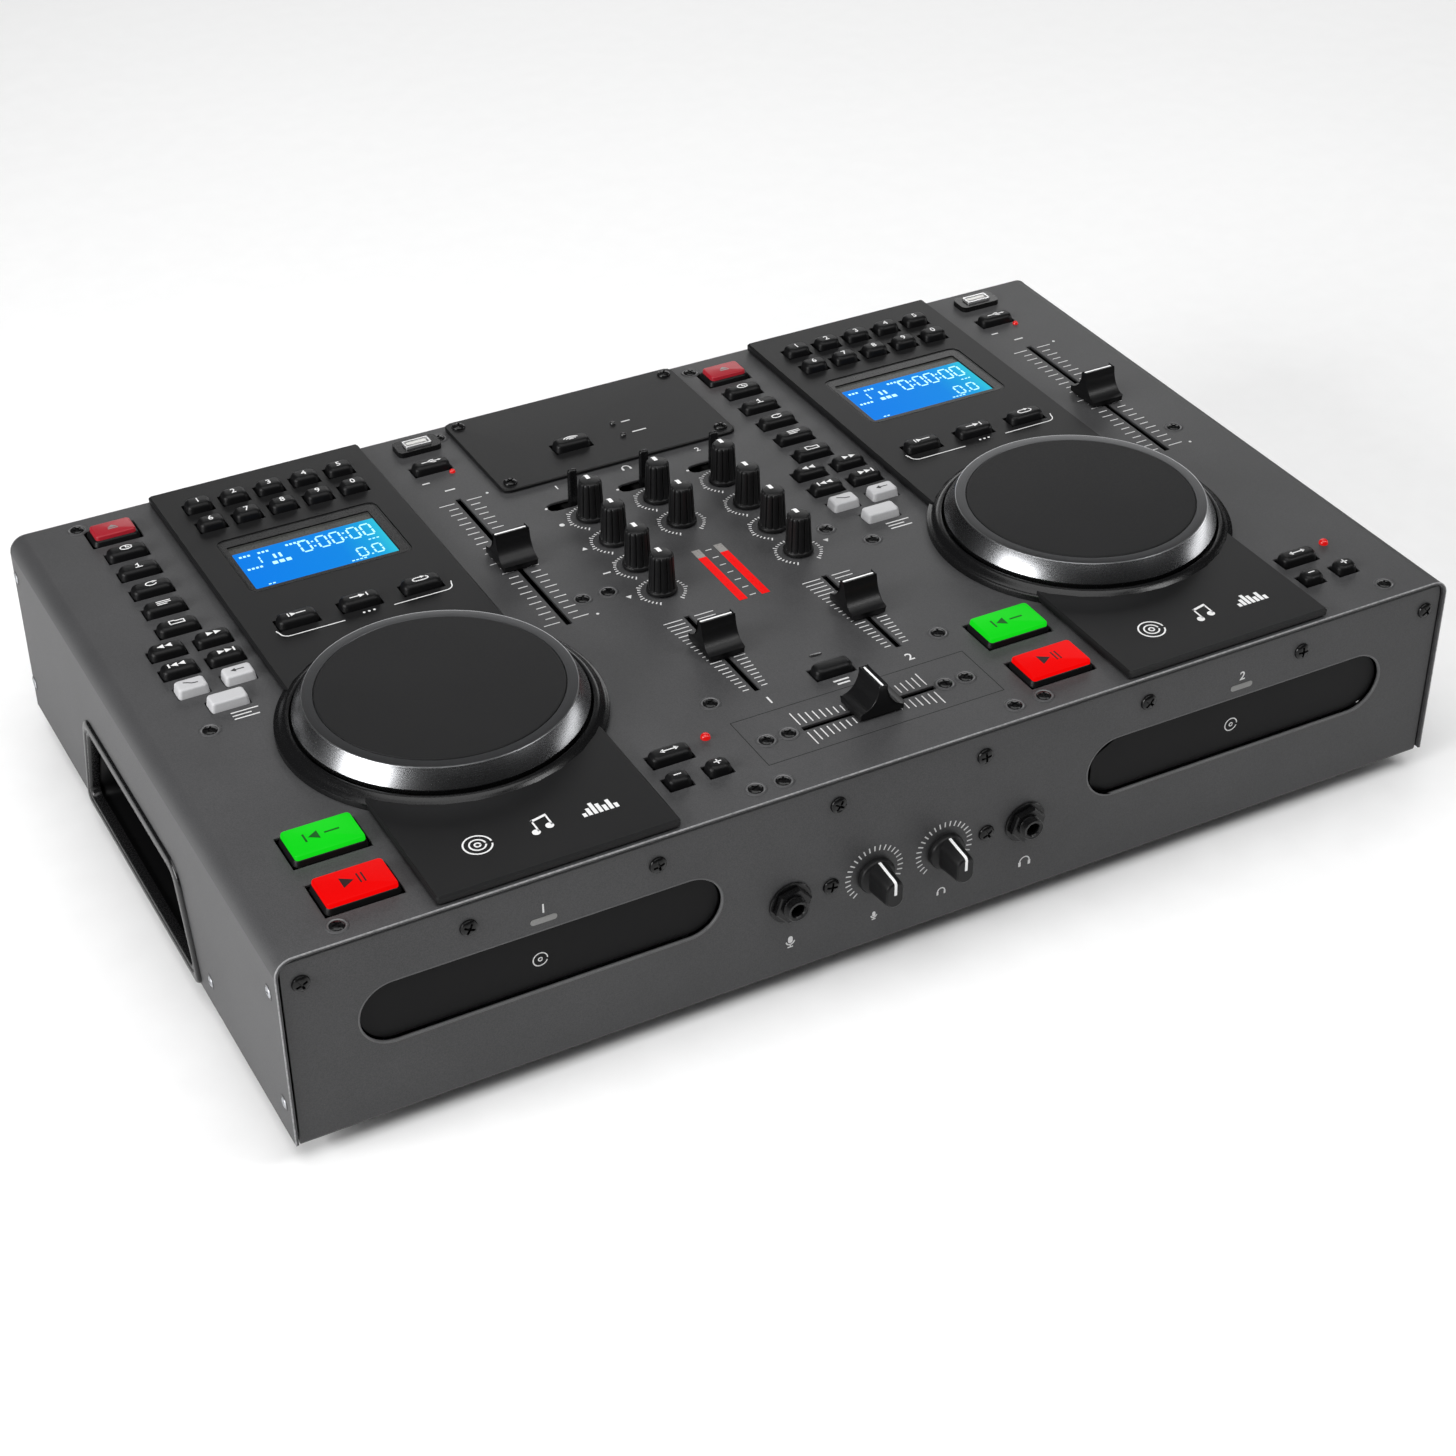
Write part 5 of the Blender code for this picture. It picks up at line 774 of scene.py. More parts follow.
def build_jog(side):
    body = f"jog_wheel_{side}"
    x, y = middle(body).xy

    def in_ring(face):
        reach = [math.hypot(v.co.x - x, v.co.y - y) for v in face.verts]
        return min(v.co.z for v in face.verts) > TOP - 0.2 and min(reach) > 67.8 and max(reach) < 75.6

    dressed(f"deck_panel_{side}", [PANEL], edge=0.35, drop=in_ring)
    bm = bmesh.new()
    turned(bm, RING_PROFILE, at(x, y, TOP), WHEEL_STEPS, closed=True)
    made(f"jog_surround_{side}", bm, [RING], angle=32)
    bm = bmesh.new()
    turned(bm, JOG_DISC_PROFILE, at(x, y, TOP), WHEEL_STEPS)
    made(f"jog_disc_{side}", bm, [DISC], body, body)
    bm = bmesh.new()
    turned(bm, JOG_RIM_PROFILE, at(x, y, TOP), WHEEL_STEPS, closed=True)
    for face in bm.faces:
        spot = face.calc_center_median()
        reach = math.hypot(spot.x - x, spot.y - y)
        in_bevel = reach > BEVEL_FROM or spot.z < TOP + RIM_TOP_FROM
        face.material_index = 0 if in_bevel else 2 if reach > FILLET_FROM else 1
    rim = brushed(f"jog_bevel_metal_{side}", (0.22, 0.223, 0.23), 0.27, 1.0, (x, y), 0.004, 0.3)
    fillet = brushed(f"jog_fillet_metal_{side}", (0.36, 0.365, 0.375), 0.30, 1.0, (x, y), 0.002, 0.2)
    top = brushed(f"jog_ring_metal_{side}", (0.066, 0.067, 0.070), 0.34, 0.85, (x, y), 0.010, 0.7)
    made(f"jog_rim_{side}", bm, [rim, top, fillet], body, angle=25)


for side in SIDES:
    build_jog(side)


# Marks, each drawn in a field of one unit and scaled to its place.
def polygon(*points):
    return "area", points


def line(*points):
    return "line", points


def arrow(tip, base, half=0.45):
    return polygon((tip, 0), (base, half), (base, -half))


def bar(left, right, low, high):
    return polygon(*oblong(left, right, low, high))


def mirrored(shapes, x=1, y=1):
    return [(kind, [(x * u, y * v) for u, v in points]) for kind, points in shapes]


SYMBOLS = {
    "back": [arrow(-0.1, 0.5), arrow(-0.8, -0.2)],
    "first": [arrow(0, 0.6), arrow(-0.65, -0.05), bar(-0.9, -0.75, -0.45, 0.45)],
    "clock": [line(*arc(0, 0, 0.5, 0, 340, 14)), line((0, 0.35), (0, 0), (0.28, -0.1))],
    "one": [line((-0.2, 0.2), (0, 0.45), (0, -0.45)), line((-0.3, -0.45), (0.3, -0.45))],
    "again": [line(*arc(0, 0, 0.45, 50, 350, 12)), polygon((0.2, 0.62), (0.62, 0.4), (0.15, 0.12))],
    "list": [line((-0.6, 0.38), (0.6, 0.38)), line((-0.6, 0), (0.6, 0)), line((-0.6, -0.38), (0.25, -0.38))],
    "box": [line((-0.6, -0.4), (0.6, -0.4), (0.6, 0.25), (-0.05, 0.25), (-0.2, 0.42), (-0.6, 0.42),
                 (-0.6, -0.4))],
    "in": [line((-0.7, 0.4), (-0.7, -0.4)), arrow(0, -0.5, 0.4), line((0, 0), (0.8, 0))],
    "out": [line((0.7, 0.4), (0.7, -0.4)), arrow(0.5, 0, 0.4), line((-0.8, 0), (0, 0))],
    "round": [line(*arc(-0.3, 0, 0.38, 90, 270, 8)), line(*arc(0.3, 0, 0.38, -90, 60, 8)),
              line((-0.3, -0.38), (0.3, -0.38)), line((-0.3, 0.38), (0.1, 0.38)),
              polygon((0.1, 0.65), (0.45, 0.38), (0.1, 0.1))],
    "slow": [line((-0.7, 0.35), (-0.3, 0.1), (0.1, -0.2), (0.7, -0.3))],
    "turn": [arrow(-0.7, -0.2, 0.4), line((-0.2, 0), (0.7, 0))],
    "plus": [line((-0.5, 0), (0.5, 0)), line((0, -0.5), (0, 0.5))],
    "minus": [line((-0.5, 0), (0.5, 0))],
    "range": [line((-0.7, 0), (0.7, 0)), line((-0.45, 0.3), (-0.7, 0), (-0.45, -0.3)),
              line((0.45, 0.3), (0.7, 0), (0.45, -0.3))],
    "source": [line((-0.8, 0), (0.8, 0)), line((-0.3, 0), (0.1, 0.35), (0.4, 0.35)),
               line((-0.1, 0), (0.25, -0.35), (0.5, -0.35)), arrow(1.05, 0.8, 0.2)],
    "eject": [polygon((0, 0.5), (-0.55, -0.1), (0.55, -0.1)), bar(-0.55, 0.55, -0.5, -0.28)],
    "link": [line(*arc(0, -0.35, 0.25, 30, 150, 6)), line(*arc(0, -0.35, 0.55, 30, 150, 8)),
             line(*arc(0, -0.35, 0.85, 35, 145, 8))],
    "play": [polygon((-1.1, 0.75), (-1.1, -0.55), (0, 0.1)), line((0.45, 0.7), (0.45, -0.5)),
             line((0.85, 0.7), (0.85, -0.5))],
    "cue": [line((-1.5, 0.6), (-1.5, -0.5)), polygon((-1.2, 0.05), (-0.3, 0.6), (-0.3, -0.5)),
            line((0.2, 0.05), (1.5, 0.05))],
    "dot": [polygon(*arc(0, 0, 0.55, 0, 330, 11))],
    "up": [polygon((0, 0.6), (-0.6, -0.45), (0.6, -0.45))],
    "dash": [bar(-0.8, 0.8, -0.2, 0.2)],
    "ears": [line(*arc(0, -0.1, 0.8, 0, 180, 12)), bar(-1.0, -0.6, -0.85, -0.1), bar(0.6, 1.0, -0.85, -0.1)],
    "voice": [polygon(*(arc(0, 0.55, 0.38, 0, 180, 8) + arc(0, 0.05, 0.38, 180, 360, 8))),
              line(*arc(0, 0.1, 0.7, 190, 350, 10)), line((0, -0.6), (0, -1.0)),
              line((-0.45, -1.05), (0.45, -1.05))],
}
SYMBOLS["on"] = mirrored(SYMBOLS["back"], x=-1)
SYMBOLS["last"] = mirrored(SYMBOLS["first"], x=-1)
SYMBOLS["down"] = mirrored(SYMBOLS["up"], y=-1)


def ink_symbol(bm, name, across, up, weight, place, material=0):
    for kind, points in SYMBOLS[name]:
        sized = [(x * across, y * up) for x, y in points]
        if kind == "area":
            ink_area(bm, sized, place, material)
        else:
            ink_line(bm, sized, weight, place, material=material)


# Keys on their webs, each given by its place, its size and its mark.
KEY_SINK, WEB_MARGIN = 0.6, 2.2
NUMBER_SIZE, KEY_SIZE, STEP_SIZE, WHITE_SIZE = (14, 10), (20.3, 9.5), (11.5, 9.5), (18.5, 9.5)
NUMBER_PITCH, NUMBER_ROW_PITCH, LOOP_PITCH = 18.8, 19.5, 31.5
LIST_PITCH, SEARCH_PITCH, SEARCH_HALF = 18.9, 17.2, 11.25
PITCH_COLUMN, RANGE_SHIFT, STEP_SHIFT, STEP_HALF = 82.5, (-7.5, 18), -2.9, 9.85
LIST_MARKS = ("clock", "one", "again", "list", "box")
PAIRED_KEYS = ((17.5, ("back", "on")), (17.5, ("first", "last")), (15, ("slow", "turn")))


def key(bm, x, y, low, high, size, mark, white=False):
    """One moulded key cap with its mark on the upper face."""
    width, depth = size
    corner, edge = (1.7, 1.1) if white else (3.3, 2.1)
    block(bm, width, depth, high - low, at(x, y, low), taper=(1 - 1.4 / width, 0.90), corner=corner,
          edge=edge, segments=5, material=2 if white else 0, shift=0.25)
    spot, ink = at(x, y + 0.45, high), 3 if white else 1
    if mark in SYMBOLS:
        ink_symbol(bm, mark, min(5.8, 0.31 * width), 3.6, 0.62, spot, ink)
    elif mark:
        ink_digits(bm, mark, 3.9, spot, ink)


def build_keys(name, node, carrier, keys, materials=(KEY, INK)):
    bm = bmesh.new()
    for place in keys:
        key(bm, *place[:2], carrier - KEY_SINK, box(node)[1].z, *place[2:])
    made(name, bm, materials, node, node)


def panel_keys(low, high, x):
    rear = high.y - WEB_MARGIN - NUMBER_SIZE[1] / 2
    front = low.y + WEB_MARGIN + KEY_SIZE[1] / 2
    numbers = [(x + (column - 2) * NUMBER_PITCH, rear - row * NUMBER_ROW_PITCH, NUMBER_SIZE, label)
               for row, labels in enumerate(("12345", "67890")) for column, label in enumerate(labels)]
    return numbers + [(x + (column - 1) * LOOP_PITCH, front, KEY_SIZE, mark)
                      for column, mark in enumerate(("in", "out", "round"))]


def transport_keys(high, x):
    y = high.y - WEB_MARGIN - KEY_SIZE[1] / 2
    keys = [(x, y - i * LIST_PITCH, KEY_SIZE, mark) for i, mark in enumerate(LIST_MARKS)]
    y -= 4 * LIST_PITCH
    for i, (width, marks) in enumerate(PAIRED_KEYS):
        keys += [(x + sign * SEARCH_HALF, y - (i + 1) * SEARCH_PITCH, (width, KEY_SIZE[1]), mark, i == 2)
                 for sign, mark in zip(SIGNS, marks)]
    return keys + [(x, y - 4 * SEARCH_PITCH, WHITE_SIZE, None, True)]


def pitch_keys(low, high, deck_x):
    x, y = deck_x + PITCH_COLUMN, low.y + WEB_MARGIN + KEY_SIZE[1] / 2
    source = (x, high.y - WEB_MARGIN - KEY_SIZE[1] / 2, KEY_SIZE, "source")
    reach = (x + RANGE_SHIFT[0], y + RANGE_SHIFT[1], KEY_SIZE, "range")
    steps = [(x + STEP_SHIFT + sign * STEP_HALF, y, STEP_SIZE, mark)
             for sign, mark in zip(SIGNS, ("minus", "plus"))]
    return [source, reach] + steps


# Lit buttons: materials, cap margin, frame rise, slot, and the weight and scale of the mark.
BUTTONS = {
    "cue": ([KEY, GREEN, MARK_GREEN], 1.0, 2.4, "cue_green", 0.9, (5.2, 5.2)),
    "play": ([KEY, RED, MARK_DARK], 1.0, 2.4, "play_red", 0.7, (5.0, 5.4)),
    "eject": ([KEY, EJECT, PILL], 1.6, 2.2, "eject_red", 0.5, (4.6, 3.6)),
}


def button(kind, side, materials, margin, rise, slot, weight, scale):
    """A lit cap in a black moulded frame."""
    node = f"{kind}_button_{side}"
    low, high = box(node)
    spot = middle(node)
    width, depth = high.x - low.x - 4, high.y - low.y - 4
    bm = bmesh.new()
    block(bm, width, depth, rise + KEY_SINK, at(spot.x, spot.y, TOP - KEY_SINK), corner=2.8, edge=0.9,
          segments=4, taper=(1 - 1.6 / width, 1 - 1.6 / depth))
    block(bm, width - 2 * margin, depth - 2 * margin, high.z - TOP, at(spot.x, spot.y, TOP), corner=1.9,
          edge=0.8, taper=(0.985, 0.975), material=1)
    ink_symbol(bm, kind, *scale, weight, at(spot.x, spot.y + 0.4, high.z), 2)
    made(f"{kind}_cap_{side}", bm, materials, node, node)


for side in SIDES:
    node = f"panel_keys_{side}"
    build_keys(f"number_caps_{side}", node, PANEL_TOP, panel_keys(*box(node), middle(node).x))
    node = f"transport_keys_{side}"
    build_keys(f"transport_caps_{side}", node, TOP, transport_keys(box(node)[1], middle(node).x),
               (KEY, INK, WHITE_KEY, MARK_GREY))
    node = f"pitch_keys_{side}"
    build_keys(f"pitch_caps_{side}", node, TOP, pitch_keys(*box(node), middle(f"deck_panel_{side}").x))
    for kind, look in BUTTONS.items():
        button(kind, side, *look)


# Fader caps, saddles with a white line on the ridge.
CAP_HALF, CAP_WIDTH, CAP_RIDGE, CAP_FOOT, SADDLE_STEPS = 11.4, 17.5, 0.18, 1.0, 14


def fader_cap(node, turn):
    rise = box(node)[1].z - TOP - CAP_FOOT
    reach, skirt = CAP_HALF * (1 - CAP_RIDGE), 0.20 * rise
    angles = [math.pi / 2 * (1 - i / SADDLE_STEPS) for i in range(SADDLE_STEPS + 1)]
    saddle = [(reach * math.cos(a) - CAP_HALF, rise - (rise - skirt) * math.sin(a)) for a in angles]
    points = [(-CAP_HALF, 0)] + saddle
    points += [(-x, y) for x, y in reversed(points)]
    place = spun(on_top(node, CAP_FOOT), turn)
    part = bmesh.new()
    prism(part, points, 0, CAP_WIDTH)
    part.transform(Matrix(((0, 0, 1, -CAP_WIDTH / 2), (1, 0, 0, 0), (0, 1, 0, 0), (0, 0, 0, 1))))
    rim = [e for e in part.edges if len(e.link_faces) == 2 and e.calc_face_angle(0) > math.radians(50)
           and max(v.co.z for v in e.verts) > 0.1]
    bmesh.ops.bevel(part, geom=rim, offset=0.55, segments=3, profile=0.5, affect="EDGES")
    bmesh.ops.recalc_face_normals(part, faces=part.faces)
    bm = bmesh.new()
    merged(bm, part, place)
    block(bm, CAP_WIDTH * 0.95, 0.95, 0.20, place @ at(0, 0, rise - 0.04), corner=0.4, edge=0.05, segments=1,
          material=1)
    block(bm, 7, 1.8, 6, spun(place @ at(0, 0, -5.5), 90), material=2)
    made(f"cap_{node}", bm, [FADER, INK_BRIGHT, ZINC], node, node, 32)


for node in ("pitch_fader_left", "pitch_fader_right", "channel_fader_left", "channel_fader_right"):
    fader_cap(node, 0)
fader_cap("crossfader", 90)


# Knobs of the mixer. Each row of a grip has a radius, a height and the depth of its grooves.
GRIP_ROWS = ((7.55, 0.0, 0), (7.6, 0.3, 0), (7.6, 1.2, 0), (7.35, 1.65, 0), (6.95, 1.8, 0), (6.9, 1.95, 0.1),
             (6.85, 2.5, 0.55), (6.6, 6.0, 0.6), (6.2, 14.0, 0.6), (5.95, 19.2, 0.55), (5.8, 20.3, 0.35),
             (5.4, 20.95, 0.15), (4.9, 21.3, 0.03), (4.4, 21.42, 0))
GRIP_FLATS, GRIP_POINTS, GRIP_FOOT, FLAT_DEPTH, GROOVE_SHARPNESS = 12, 96, 0.8, 0.09, 7
POINTER_PATH = ((1.0, 0), (4.3, 0), (5.2, -0.35), (5.85, -1.2), (6.1, -3.4))


def grip_radius(radius, depth, angle):
    wave = math.cos(GRIP_FLATS * angle)
    flat = FLAT_DEPTH * (1 + wave) / 2 if depth else 0
    return radius - depth * max(0.0, wave) ** GROOVE_SHARPNESS - flat


def knob(node):
    place, height = on_top(node, GRIP_FOOT), box(node)[1].z - TOP - GRIP_FOOT
    angles = [2 * math.pi * i / GRIP_POINTS for i in range(GRIP_POINTS)]
    stretch = height / GRIP_ROWS[-1][1]
    rows = [[(*polar(grip_radius(radius, depth, a), a), z * stretch) for a in angles]
            for radius, z, depth in GRIP_ROWS]
    bm = bmesh.new()
    merged(bm, skinned(rows, caps=True), place)
    strip(bm, [(y, height + drop) for y, drop in POINTER_PATH], 1.9, 0.22, place, 1)
    turned(bm, [(0, -6), (2.9, -6), (2.9, 0.4), (0, 0.4)], place, 24, material=2)
    made(f"grip_{node}", bm, [KNOB, INK_BRIGHT, ZINC], node, node, 33)


KNOBS = [f"knob_left_{i}" for i in range(1, 5)] + [f"knob_right_{i}" for i in range(1, 5)]
KNOBS += ["knob_centre_1", "knob_centre_2"]
for node in KNOBS:
    knob(node)


# Knobs on the front, each a skirt with a bar that tapers outwards.
SKIRT_PROFILE = ((0, 0.8), (8.9, 0.8), (9.2, 1.1), (9.2, 3.2), (8.8, 4.0), (7.8, 4.7), (0, 5.0))
FRONT_KNOBS = ("microphone_knob", "headphone_knob")


def front_knob(node):
    end, place = FACE_Y - box(node)[0].y, on_front(node)
    bm = bmesh.new()
    turned(bm, SKIRT_PROFILE, place)
    levels = ((3.6, 5.4, 8.7), (7, 5.2, 8.3), (12, 4.95, 7.7), (end - 1.6, 4.75, 7.2), (end - 0.5, 4.4, 6.85),
              (end, 3.7, 6.1))
    rows = [[(x, y, z) for x, y in rounded_rectangle(2 * half_width, 2 * half_height, 0.985 * half_width, 10)]
            for z, half_width, half_height in levels]
    merged(bm, skinned(rows, caps=True), place)
    path = ((0.2, end + 0.02), (6.0, end + 0.02), (6.85, end - 0.5), (7.25, end - 1.6), (7.75, 12), (8.35, 7),
            (8.75, 4.4))
    strip(bm, path, 1.3, 0.14, place, 1)
    made(f"grip_{node}", bm, [KNOB, INK_BRIGHT], node, node, 33)


# Jack sockets with a washer, a nut, a threaded sleeve and a bore.
WASHER_PROFILE = ((10.3, 0), (10.6, 0.3), (10.6, 0.9), (10.3, 1.2), (5.4, 1.2), (5.4, 0))
NUT_PROFILE = ((8.6, 1.2), (9.4, 1.7), (9.4, 3.8), (8.6, 4.3), (5.5, 4.3), (5.5, 1.2))
NUT_TURN, THREAD_COUNT, THREAD_PITCH = 12, 5, 0.7
THREAD_SECTION = ((5.3, 7.7), (5.6, 7.45), (5.3, 7.2))
THREADS = [(radius, level - THREAD_PITCH * i) for i in range(THREAD_COUNT) for radius, level in THREAD_SECTION]
SLEEVE_PROFILE = [(0, -15.0), (3.3, -15.0), (3.3, 7.2), (3.7, 7.8), (4.9, 8.0)] + THREADS
SLEEVE_PROFILE += [(5.5, 4.0), (5.5, -15.5), (0, -15.5)]
BORE_PROFILE = ((0, -14.9), (3.25, -14.9), (3.25, 4.5), (3.0, 4.5), (2.9, -14.0), (0, -14.0))


def jack(node):
    place = on_front(node)
    bm = bmesh.new()
    turned(bm, WASHER_PROFILE, place, 48, closed=True)
    turned(bm, NUT_PROFILE, spun(place, NUT_TURN), 6, closed=True)
    turned(bm, SLEEVE_PROFILE, place, 48)
    turned(bm, BORE_PROFILE, place, 32, material=1)
    made(f"socket_{node}", bm, [JACK, HOLE], node=node, angle=28)


for node in FRONT_KNOBS:
    front_knob(node)
for node in ("microphone_jack", "headphone_jack"):
    jack(node)


# Levers and small buttons of the mixer.
LEVER_FOOT, LEVER_POST, POST_SINK = (10, 12, 3.6), (5.2, 3.4), 3
for name in ("left", "centre", "right"):
    node = f"selector_lever_{name}"
    spot, (low, high) = middle(node), box(node)
    bm = bmesh.new()
    block(bm, *LEVER_FOOT, at(spot.x, spot.y, low.z), edge=0.4, material=1)
    block(bm, *LEVER_POST, high.z - low.z - POST_SINK, at(spot.x, spot.y, low.z + POST_SINK),
          taper=(0.92, 0.80), corner=1.1, edge=1.2, segments=4)
    made(f"post_{name}", bm, [RING, HOLE], node, node, 35)

for node, carrier, mark in (("receiver_button", plate_high.z, "link"), ("fader_start_button", TOP, None)):
    build_keys(f"cap_{node}", node, carrier, [(*middle(node).xy, KEY_SIZE, mark)])


# Displays.
DISPLAY_SIZE, WINDOW_SIZE, WINDOW_SHIFT = (83, 52.4), (74.4, 42.6), (-1.3, -1.7)
LIT_SIZE, LIT_SHIFT, WINDOW_RECESS = (73.6, 35.6), (-1.3, -4.95), 0.8
SEGMENT_LINES = {
    "a": ((0.12, 1.0), (0.88, 1.0)), "b": ((0.95, 0.92), (0.95, 0.56)), "c": ((0.95, 0.44), (0.95, 0.08)),
    "d": ((0.12, 0.0), (0.88, 0.0)), "e": ((0.05, 0.08), (0.05, 0.44)), "f": ((0.05, 0.56), (0.05, 0.92)),
}
DIGIT_SEGMENTS = {"0": "abcdef", "1": "bc"}
# Readings of a display: the left lower corner, the width and height of a digit, and its thickness.
READINGS = (("0:00:00", -4.7, 3.8, 5.3, 10.3, 0.95), ("0.0", 18.3, -13.4, 4.7, 7.8, 0.85),
            ("1", -28.3, 3.8, 2.6, 7.0, 0.7))
# Small signs of a display: the first one's left end and height, how many, and their thickness.
SIGN_WIDTH, SIGN_PITCH = 1.3, 2.1
SMALL_SIGNS = ((-34.5, 13.6, 3, 1.5), (-25.0, 13.6, 3, 1.5), (-10.5, 14.0, 5, 1.5), (-34.5, 1.2, 4, 1.5),
               (27.5, -0.4, 3, 0.8), (13.0, -15.2, 4, 0.8), (-30.0, -15.6, 2, 0.8))


def segment_text(bm, text, x, y, width, height, weight, place):
    """Numbers of a segment display, drawn from their left lower corner."""
    for sign in text:
        if sign in ":.":
            half = 0.55 * weight
            for share in (0.28, 0.72) if sign == ":" else (0.0,):
                up = y + share * height
                ink_area(bm, oblong(x - half, x + half, up - half, up + half), place, 3)
            x += 0.40 * width
            continue
        for segment in DIGIT_SEGMENTS[sign]:
            ends = [(x + a * width, y + b * height) for a, b in SEGMENT_LINES[segment]]
            ink_line(bm, ends, weight, place, material=3)
        x += 1.33 * width


def build_display(side):
    node = f"display_{side}"
    low, high = box(node)
    x, y = middle(node).xy
    bm = bmesh.new()
    outer = rounded_rectangle(*DISPLAY_SIZE, 4)
    window = [(a + WINDOW_SHIFT[0], b + WINDOW_SHIFT[1]) for a, b in rounded_rectangle(*WINDOW_SIZE, 1)]
    floor = high.z - WINDOW_RECESS
    band(bm, outer, window, low.z + 3, high.z, at(x, y, 0))
    prism(bm, window, floor - 1, floor, at(x, y, 0), material=1)
    plane = at(x + LIT_SHIFT[0], y + LIT_SHIFT[1], floor + 0.1)
    prism(bm, rounded_rectangle(*LIT_SIZE, 0.6), -0.6, 0, plane, material=2)
    reach = LIT_SIZE[0] / 2
    for reading in READINGS:
        segment_text(bm, *reading, plane)
    for left, level, count, weight in SMALL_SIGNS:
        signs = [(left + SIGN_WIDTH / 2 + SIGN_PITCH * i, level, SIGN_WIDTH) for i in range(count)]
        dashes(bm, signs, weight, plane, 3)
    for left in (-18.5, -15.6):
        ink_line(bm, [(left, 5.4), (left, 9.4)], 1.2, plane, material=3)
    dashes(bm, [(-20.25 + 3.5 * i, 1.6, 2.5) for i in range(3)], 2.6, plane, 3)
    ink_line(bm, [(a * 0.985, b * 0.978) for a, b in outer], 0.30, at(x, y, high.z), closed=True, material=4)
    light = lit_window(f"display_light_{side}", x - reach, x + reach)
    made(f"window_{side}", bm, [BEZEL, BAND, light, SEGMENT, PANEL], node=node)


# Width, depth and corner of the outlines of a USB port, and the sizes of what is in it.
USB_FRAME, USB_HOLE = (24, 13, 3), (14.6, 7.2, 0.8)
USB_SHELL, USB_MOUTH = (14.2, 6.8, 0.7), (12.5, 5.1, 0.4)
USB_TONGUE, USB_CONTACT, CONTACT_PITCH = (11.2, 2.5, 8.4), (1.1, 0.12, 6.5), 2.4
USB_DEPTH, USB_PROUD = 9, 1.2


def build_usb(side):
    node = f"usb_port_{side}"
    high = box(node)[1].z
    x, y = middle(node).xy
    place, floor, mouth = at(x, y, 0), high - USB_DEPTH, rounded_rectangle(*USB_MOUTH)
    bm = bmesh.new()
    band(bm, rounded_rectangle(*USB_FRAME), rounded_rectangle(*USB_HOLE), TOP, high - USB_PROUD, place)
    band(bm, rounded_rectangle(*USB_SHELL), mouth, floor, high, place, 1)
    prism(bm, mouth, floor, floor + 0.5, place, material=2)
    block(bm, *USB_TONGUE, at(x, y + 0.8, floor + 0.2), edge=0.2, material=3)
    for i in range(4):
        block(bm, *USB_CONTACT, at(x + (i - 1.5) * CONTACT_PITCH, y - 0.52, floor + 1), material=1)
    made(f"usb_{side}", bm, [RING, SILVER, HOLE, PHONO_WHITE], node=node, edge=0.18)


for side in SIDES:
    build_display(side)
    build_usb(side)


# Marks printed on the deck panels: brackets under the loop keys, rings, a note and bars.
BRACKET = [(-43.5, -3.8)] + arc(-38.5, -6.2, 4.2, 180, 270, 6) + [(-11.5, -10.4)]
BRACKET_SHIFT = (2.5, 1.6)
BAR_HEIGHTS = (2.6, 5.2, 8.2, 6.4, 4.2, 7.0, 3.2)


def print_deck(side):
    x = middle(f"deck_panel_{side}").x
    loops = at(x, box(f"panel_keys_{side}")[0].y + WEB_MARGIN + KEY_SIZE[1] / 2, PANEL_TOP)
    bm = bmesh.new()
    for points in (BRACKET, [(BRACKET_SHIFT[0] - a, b + BRACKET_SHIFT[1]) for a, b in BRACKET]):
        ink_line(bm, points, 0.55, loops)
    for i in range(3):
        ink_dot(bm, 1.5 + 2.6 * (i - 1), -8.2, 0.65, loops)
    signs = at(x, box(f"deck_panel_{side}")[0].y + 25, PANEL_TOP)
    for radius in (1.3, 3.6, 6.3):
        ink_line(bm, arc(-27, 0, radius, 0, 345, 28), 0.75, signs)
    note = signs @ at(2.5, 0, 0)
    ink_area(bm, [(-3.2, 3.2), (4.6, 4.9), (4.6, 6.3), (-3.2, 4.6)], note)
    for left, foot in ((-3.2, -3.6), (3.8, -1.9)):
        ink_area(bm, [(left, foot), (left + 0.8, foot), (left + 0.8, 4.9), (left, 4.3)], note)
        ink_dot(bm, left - 0.9, foot - 0.2, 1.9, note)
    for i, height in enumerate(BAR_HEIGHTS):
        left = (i - 3.5) * 2.5
        ink_area(bm, oblong(left, left + 1.75, 0, height), signs @ at(29.5, -4.2, 0))
    made(f"panel_print_{side}", bm, [INK])


def ticks(bm, x, y, length, count, inner, lengths, side_on=False):
    """Two rows of ticks beside a slot. A function of number and share gives each its length."""
    for i in range(count):
        share = i / (count - 1)
        along, reach = (share - 0.5) * length, lengths(i, share)
        for sign in SIGNS:
            ends = [(sign * inner, along), (sign * (inner + reach), along)]
            ink_line(bm, [(b, a) for a, b in ends] if side_on else ends, 0.55, at(x, y, TOP))


def pitch_tick(i, share):
    """Long ticks at the middle and the ends, and every second one a little longer."""
    return 8.2 if i % 12 == 0 else 6.3 if i % 2 == 0 else 5.0


def channel_tick(i, share):
    """Ticks that grow towards the rear."""
    return 3.2 + 6.8 * share


def cross_tick(i, share):
    """Ticks that grow towards both ends."""
    return 3.0 + 5.6 * abs(2 * share - 1) + (1.4 if share in (0, 1) else 0)


